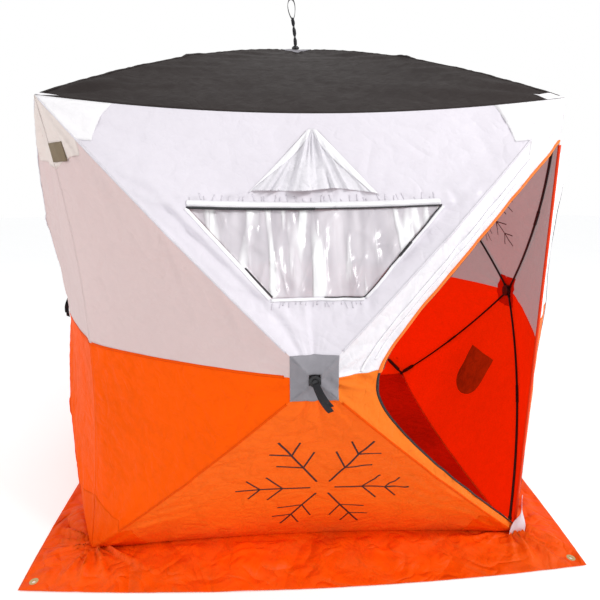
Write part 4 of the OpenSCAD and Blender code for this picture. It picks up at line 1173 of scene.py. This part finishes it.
def corner_patch(k, g, second, long, wide, pole_l):
    u = between(1 - long / pole_l, EDGE_U, count(18))[:, None]
    r = (u - u[0]) / (u[-1] - u[0])
    w = (PATCH_NARROW + (wide - PATCH_NARROW) * r) / FLOOR_W
    j = between(0, 1, count(14))[None, :]
    v = SEAM / FLOOR_W + (w - SEAM / FLOOR_W) * j
    v = 1 - v[:, ::-1] if second else v
    u = np.broadcast_to(u, v.shape)
    lift = 0.0008 + 0.0008 * smooth(np.minimum((1 - np.abs(2 * j - 1)) * 4, r * 5))
    lift = lift[:, ::-1] if second else lift
    p = spot(k, g, u, v)
    a, b, _ = panel(k, g, 0.0)
    gathers = folds_from(b if second else a, p, OUT[k], 70, 0.30, 150) * smooth((1 - u) / 0.02)
    lift = lift + 0.010 * np.maximum(gathers, 0) * (k != ROOF)
    return grid(p + lift[..., None] * OUT[k], cloth_uv(k, u, v))


def add_patches():
    upper, shaded, lower = [], [], []
    for k in range(4):
        for g, second, wide in ((TOP, False, PATCH_W), (TOP, True, PATCH_W),
                                (RIGHT, False, 0.092 if k == 0 else PATCH_W), (LEFT, True, PATCH_W)):
            if not (k == DOOR_CORNER and g == LEFT):
                rows = shaded if k == LEFT_WALL or (k, g) == (FRONT, LEFT) else upper
                rows.append(corner_patch(k, g, second, PATCH_L, wide, POLE_L))
        for second in (False, True):
            size = 0.24 if CORNERS[(k + second) % 4][0] < 0 else 0.08
            upper.append(corner_patch(ROOF, k, second, size * PATCH_L, size * PATCH_W, ROOF_POLE_L))
        for g, second in ((BOTTOM, False), (BOTTOM, True), (RIGHT, True), (LEFT, False)):
            if not (k == 0 and g == RIGHT) and not (k == DOOR_CORNER and g == LEFT):
                lower.append(corner_patch(k, g, second, PATCH_L, PATCH_W, POLE_L))
    shown("white_corner_patches", upper, [patch_white],
          stands_for=["corner_patches_upper"], thick=TRIM_T)
    # patches on the shaded left take the painted-shade copy
    shown("white_corner_patches_painted_shade", shaded, [patch_white_painted_shade], thick=TRIM_T)
    shown("orange_corner_patches", lower, [patch_orange],
          stands_for=["corner_patches_lower"], thick=TRIM_T)
    u = between(1 - TAG_L / SIDE_L, EDGE_U, count(10))[:, None]
    z = between(TAG_LOW, TAG_HIGH, count(10))[None, :]
    v = 0.5 + (z - EAVE_H / 2) / (EAVE_H * u)
    uu, vv = np.broadcast_arrays(u, v)
    grids = [grid(spot(FRONT, LEFT, uu, vv) + 0.0075 * OUT[FRONT], cloth_uv(FRONT, uu, vv))]
    shown("corner_tag_cloth", grids, [tag_cloth], stands_for=["corner_tag"], thick=0.0012)


def snowflake(k, g, along, across, reach, width, lift):
    """Strokes of a plain six-armed snowflake on a panel."""
    grids = []

    def stroke(a, b, share):
        line = [(along + a[1], across + a[0]), (along + b[1], across + b[0])]
        grids.append(tape(k, g, line, width * share, lift, ((-1, 0), (0, 0.3), (1, 0)), 0.0002, step=0.010))

    for n in range(6):
        a = math.radians(60 * n)
        ray = np.array([math.cos(a), math.sin(a)])
        stroke(ray * 0.14 * reach, ray * reach, 1.0)
        for root, twig in ((0.46, 0.30), (0.72, 0.24)):
            for turn in (-52, 52):
                b = a + math.radians(turn)
                start = ray * reach * root
                stroke(start, start + np.array([math.cos(b), math.sin(b)]) * twig * reach, 0.85)
    return grids


def add_prints():
    """The same snowflake on the front's foot panel and on the side walls' top panels, and its painted shadow on
    the side walls' inner faces.
    """
    grids = snowflake(FRONT, BOTTOM, 0.585 * PANEL_L, -0.045, 0.315, 0.0075, 0.0005)
    for k in (RIGHT_WALL, LEFT_WALL):
        grids.extend(snowflake(k, TOP, 0.60 * PANEL_L, 0, 0.30, 0.0075, 0.0005))
    shown("snowflake_prints", grids, [ink], thick=0.0003)
    # painted shadow of the side walls' prints, on their inner faces
    inside = []
    for k in (RIGHT_WALL, LEFT_WALL):
        inside.extend(grid(g["points"][:, ::-1], g["uv"][:, ::-1])
                      for g in snowflake(k, TOP, 0.60 * PANEL_L, 0, 0.30, 0.0075, -CLOTH_T - 0.0006))
    shown("snowflake_print_shadows_inside", inside, [print_shadow], thick=0.0002)


def add_pocket():
    up, high, wide, cut = 0.42, 0.262, 0.266, 0.105
    along = between(up * PANEL_L, up * PANEL_L + high, count(24))[:, None]
    past = np.clip((along - up * PANEL_L - (high - cut)) / cut, 0, 1)
    half = wide / 2 * np.sqrt(np.maximum(1 - past ** 2.2, 0.03))
    x = between(-1, 1, count(24))[None, :] * half
    along = np.broadcast_to(along, x.shape)
    sag = 0.010 * np.sin(math.pi * smooth((along - up * PANEL_L) / high)) * (1 - (x / (wide / 2)) ** 2)
    p = place_on(RIGHT_WALL, BOTTOM, along + 0.004, x + 0.014, -0.0045)
    p = p - (sag + 0.002)[..., None] * OUT[RIGHT_WALL]
    sheet = [grid(p[:, ::-1], np.stack([along, x], -1)[:, ::-1])]
    piece = shown("storage_pocket", sheet, [pocket_cloth], stands_for=["wall_pocket"])


# ---- Straps ----

def ribbon(centre, across, up, width, thick):
    """Flat webbing along a line: across is its width direction, up its face; rounded edges."""
    centre, across, up = (np.asarray(a, float) for a in (centre, across, up))
    section = [(-1, -0.4), (-0.94, -1), (0, -1), (0.94, -1), (1, -0.4), (1, 0.4), (0.94, 1), (0, 1),
               (-0.94, 1), (-1, 0.4), (-1, -0.4)]
    p = np.stack([centre + across * x * width / 2 + up * y * thick / 2 for x, y in section], 1)
    s = distance_along(centre)
    uv = field(s[:, None], np.array([x for x, _ in section])[None, :] * width / 2)
    caps = [grid(np.stack([p[i, :5], p[i, 9:4:-1]], 0) if i == 0 else np.stack([p[i, 9:4:-1], p[i, :5]], 0),
                 np.zeros((2, 5, 2))) for i in (0, -1)]
    return [grid(p, uv)] + caps


def add_pull_straps():
    """Each wall's folded pull strap hangs from its hub, leaning and slightly twisted."""
    grids = []
    for k in range(4):
        n, side = OUT[k], np.cross(UP, OUT[k])
        top = hub_at(k) + 0.0140 * n
        t = between(0, 1, count(30))
        for layer, length in ((0, 0.104), (1, 0.088)):
            a = math.radians(32) * (0.55 + 0.55 * t) + 0.10 * layer
            step = length / (len(t) - 1)
            x, z = np.cumsum(np.sin(a)) * step, -np.cumsum(np.cos(a)) * step
            out = 0.004 * layer + 0.010 * np.sin(math.pi * t) + 0.002
            centre = top + x[:, None] * side + z[:, None] * UP + out[:, None] * n
            turn = 0.45 * t * t + 0.25 * layer
            flat = np.cos(a)[:, None] * side + np.sin(a)[:, None] * UP
            across = np.cos(turn)[:, None] * flat + np.sin(turn)[:, None] * n
            ahead = np.gradient(centre, axis=0)
            ahead /= np.linalg.norm(ahead, axis=1)[:, None]
            grids.extend(ribbon(centre, across, np.cross(ahead, across), 0.022, 0.0022))
    shown("wall_pull_straps", grids, [webbing], stands_for=["pull_straps"], thick=0)


def add_roof_loop():
    """Webbing twisted up from the roof hub into a small open loop."""
    foot = EAVE_H + ROOF_RISE + 0.0113
    high, loop, wide = 0.215, 0.088, 0.017
    grids = []
    for way in (1, -1):
        t = between(0, 1, count(60))
        rise = t * (high - loop)
        turn = math.radians(500) * t + (0 if way == 1 else math.pi)
        x, y = 0.0028 * np.cos(turn), 0.0028 * np.sin(turn)
        s = between(0, math.pi, count(40))[1:]
        lx = way * wide * np.sin(s) * (1.0 - 0.25 * np.cos(s))
        lz = high - loop + loop * (1 - np.cos(s)) / 2
        centre = np.stack([np.concatenate([x, x[-1] * np.exp(-s * 3) + lx]),
                           np.concatenate([y, y[-1] * np.exp(-s * 3)]),
                           foot + 0.002 + np.concatenate([rise, lz - 0.004])], 1)
        centre[:, 0] -= 0.020 * smooth((centre[:, 2] - foot) / high)
        ahead = np.gradient(centre, axis=0)
        ahead /= np.linalg.norm(ahead, axis=1)[:, None]
        full = np.concatenate([turn, np.full(len(s), turn[-1])])
        blend = smooth((np.arange(len(full)) - len(t) + 10) / 14)[:, None]
        spun = np.stack([np.cos(full + math.pi / 2), np.sin(full + math.pi / 2), 0 * full], 1)
        across = spun * (1 - blend) + np.array([0, 1.0, 0]) * blend
        across -= (across * ahead).sum(1)[:, None] * ahead
        across /= np.linalg.norm(across, axis=1)[:, None] + 1e-9
        grids.extend(ribbon(centre, across, np.cross(ahead, across), 0.016, 0.0024))
    line = np.stack([np.array([x, 0, foot + 0.0018]) for x in np.linspace(-0.0125, 0.0125, 6)])
    grids.extend(ribbon(line, np.tile([0, 1.0, 0], (6, 1)), np.tile([0, 0, 1.0], (6, 1)), 0.025, 0.003))
    shown("roof_webbing_loop", grids, [webbing], stands_for=["roof_strap"], thick=0)


def add_foot_sleeves():
    """Rubber sleeves where the poles enter the corner feet."""
    grids = []
    a = between(0, 2 * math.pi, 20)
    for k in range(4):
        start = hub_at(k, -POLE_INSET)
        for x, y in (CORNERS[k], CORNERS[(k + 1) % 4]):
            if y < 0:
                continue
            end = np.array([x * (FLOOR_W / 2 - POLE_INSET), y * (FLOOR_W / 2 - POLE_INSET), FOOT_Z + 0.013])
            ahead = (end - start) / np.linalg.norm(end - start)
            bow = POLE_BOW * (OUT[k] - (OUT[k] @ ahead) * ahead)
            t = between(0.885, 0.975, count(12))[:, None]
            centre = start + t * (end - start) + 4 * t * (1 - t) * bow
            side = np.cross(ahead, OUT[k])
            side /= np.linalg.norm(side)
            over = np.cross(side, ahead)
            radius = 0.0118 - 0.0022 * smooth((0.905 - t) / 0.02) - 0.0004 * np.cos((t - 0.885) * 700)
            ring = np.cos(a)[None, :, None] * side + np.sin(a)[None, :, None] * over
            grids.append(grid(centre[:, None] + radius[..., None] * ring,
                              field(t * POLE_L, a[None, :] * 0.011)))
    shown("corner_foot_sleeves", grids, [plastic], thick=TRIM_T)


# ---- Skirt ----

def skirt_height(x, y):
    """Folds of the skirt on the ground: none at the wall's foot or round the eyelets."""
    p = np.stack([x, y, 0 * x], -1)
    inner = np.maximum(np.abs(x), np.abs(y)) - SKIRT_IN + 0.02
    side = np.where(np.abs(x) > np.abs(y), y, x)
    run = np.stack([side, inner * 0.5 + np.floor(np.arctan2(y, x) / 1.5708 + 0.5), 0 * x], -1)
    rise = 0.018 * np.maximum(noise(run, (0.12, 0.5, 1), 120) + 0.10, 0) + 0.012 * np.maximum(
        noise(run, (0.045, 0.4, 1), 121), 0) + 0.008 * crease(p, 0.10, 122, 5)
    for cx, cy in CORNERS:
        c = np.array([cx * 0.86, cy * 0.86, 0.0])
        near = np.exp(-(np.hypot(x - c[0], y - c[1]) / 0.30) ** 2)
        rise = rise + 0.060 * np.maximum(folds_from(c, p, UP, 46, 0.30, 123) + 0.06, 0) * near
    hem = smooth((SKIRT_OUT + 0.02 - SKIRT_IN - inner) / 0.07)
    held = smooth((inner - 0.02) / 0.045) * (0.10 + 0.90 * hem)
    for cx, cy in CORNERS:
        held = held * smooth((np.hypot(x - cx * EYELET_AT, y - cy * EYELET_AT) - 0.017) / 0.03)
    return rise * held


def add_skirt():
    names = (("front", True), ("right", False), ("back", True), ("left", False))
    for k, (side, long) in enumerate(names):
        end = SKIRT_OUT if long else SKIRT_IN - SEAM
        x = between(-end, end, count(230 if long else 180))[:, None]
        t = between(0, 1, count(40))[None, :]
        inner = np.where(np.abs(x) < SKIRT_IN, -SKIRT_IN + FOOT_DRAW * (1 - (x / SKIRT_IN) ** 2), -SKIRT_IN)
        outer = -SKIRT_OUT - SKIRT_SWELL * (1 - (x / SKIRT_OUT) ** 2)
        y = inner + (outer - inner) * t
        past = np.clip((np.abs(x) - SKIRT_IN) / (SKIRT_OUT - SKIRT_IN), 0, 1)
        xx = x * (1 + SKIRT_SWELL / SKIRT_OUT * np.maximum(1 - (y / SKIRT_OUT) ** 2, 0) * past)
        a = k * math.pi / 2
        gx, gy = xx * math.cos(a) - y * math.sin(a), xx * math.sin(a) + y * math.cos(a)
        z = LAID_Z + skirt_height(gx, gy)
        p = np.stack([gx, gy, z], -1)
        cells = np.ones((p.shape[0] - 1, p.shape[1] - 1), bool)
        mid = (p[1:, 1:, :2] + p[:-1, :-1, :2]) / 2
        for cx, cy in CORNERS:
            cells &= np.hypot(mid[..., 0] - cx * EYELET_AT, mid[..., 1] - cy * EYELET_AT) > EYELET_HOLE
        grids = [grid(p[:, ::-1], np.stack([xx, y], -1)[:, ::-1], cells[:, ::-1])]
        piece = shown("skirt_" + side + "_cloth", grids, [skirt_cloth],
                      stands_for=["skirt_" + side], thick=LAID_T)


def add_ground_sheet():
    """Floor cloth inside the hut, laid on the ground with low folds."""
    n = count(110)
    y = between(-1, 1, n)[None, :]
    x = between(-1, 1, n)[:, None]
    reach = SKIRT_IN - 0.0008
    gx, gy = x * (reach - FOOT_DRAW * (1 - y * y)), y * (reach - FOOT_DRAW * (1 - x * x))
    held = smooth((1 - np.abs(x)) / 0.10) * smooth((1 - np.abs(y)) / 0.10)
    p = field(gx, gy, 0 * gx)
    z = LAID_Z + (0.010 * np.maximum(noise(p, 0.30, 140), 0) + 0.006 * crease(p, 0.22, 141, 6)) * held
    grids = [grid(p + z[..., None] * UP, np.stack([gx, gy], -1))]
    piece = shown("ground_sheet_cloth", grids, [ground_cloth],
                  stands_for=["ground_sheet"], thick=LAID_T)


def paint(node, finish):
    """The CAD part keeps its shape and takes a finish."""
    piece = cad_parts[node]
    piece.data.materials.clear()
    piece.data.materials.append(finish)
    for face in piece.data.polygons:
        face.material_index = 0


def add_foot_tab():
    """Crumpled white tie-down tab at the foot of the doorway's corner."""
    t = between(0, 1, count(26))[:, None]
    w = between(-1, 1, count(16))[None, :]
    z = 0.185 - 0.168 * t
    wide = 0.004 + 0.030 * smooth(t) ** 1.3
    x = HINGE[0] + 0.012 - 0.012 * t + w * wide + 0.004 * np.sin(5 * t)
    y = HINGE[1] - 0.012 - 0.022 * t + w * 0.006
    p = field(x, y, z)
    rumple = 0.010 * noise(p, (0.025, 0.05, 0.06), 130) * smooth(t / 0.2)
    p = p + rumple[..., None] * np.array([0.2, -1.0, 0])
    sheet = [grid(p[::-1], field(t * 0.1, w * 0.03)[::-1])]
    piece = shown("corner_tie_tab", sheet, [white_cloth], thick=0.0012)


def add_floor():
    bpy.ops.mesh.primitive_circle_add(vertices=96, radius=30, fill_type="NGON", location=(0, 0, -0.0015))
    floor = bpy.context.active_object
    floor.name = "studio_floor"
    floor.data.materials.append(floor_finish())


place_camera()
light_studio()
add_floor()
add_wall_cloth()
add_front_top()
add_window()
add_tucks()
add_vent()
add_door_frame()
add_doorway_trim()
add_door()
add_seams()
add_hub_patches()
add_hub_linings()
add_patches()
add_prints()
add_pocket()
add_pull_straps()
add_roof_loop()
add_foot_sleeves()
add_skirt()
add_ground_sheet()
add_foot_tab()
for node in POLES.values():
    paint(node, pole_black)
for node in ("wall_hubs", "roof_hub", "top_corner_joints", "corner_feet"):
    paint(node, plastic)
paint("skirt_eyelets", brass)
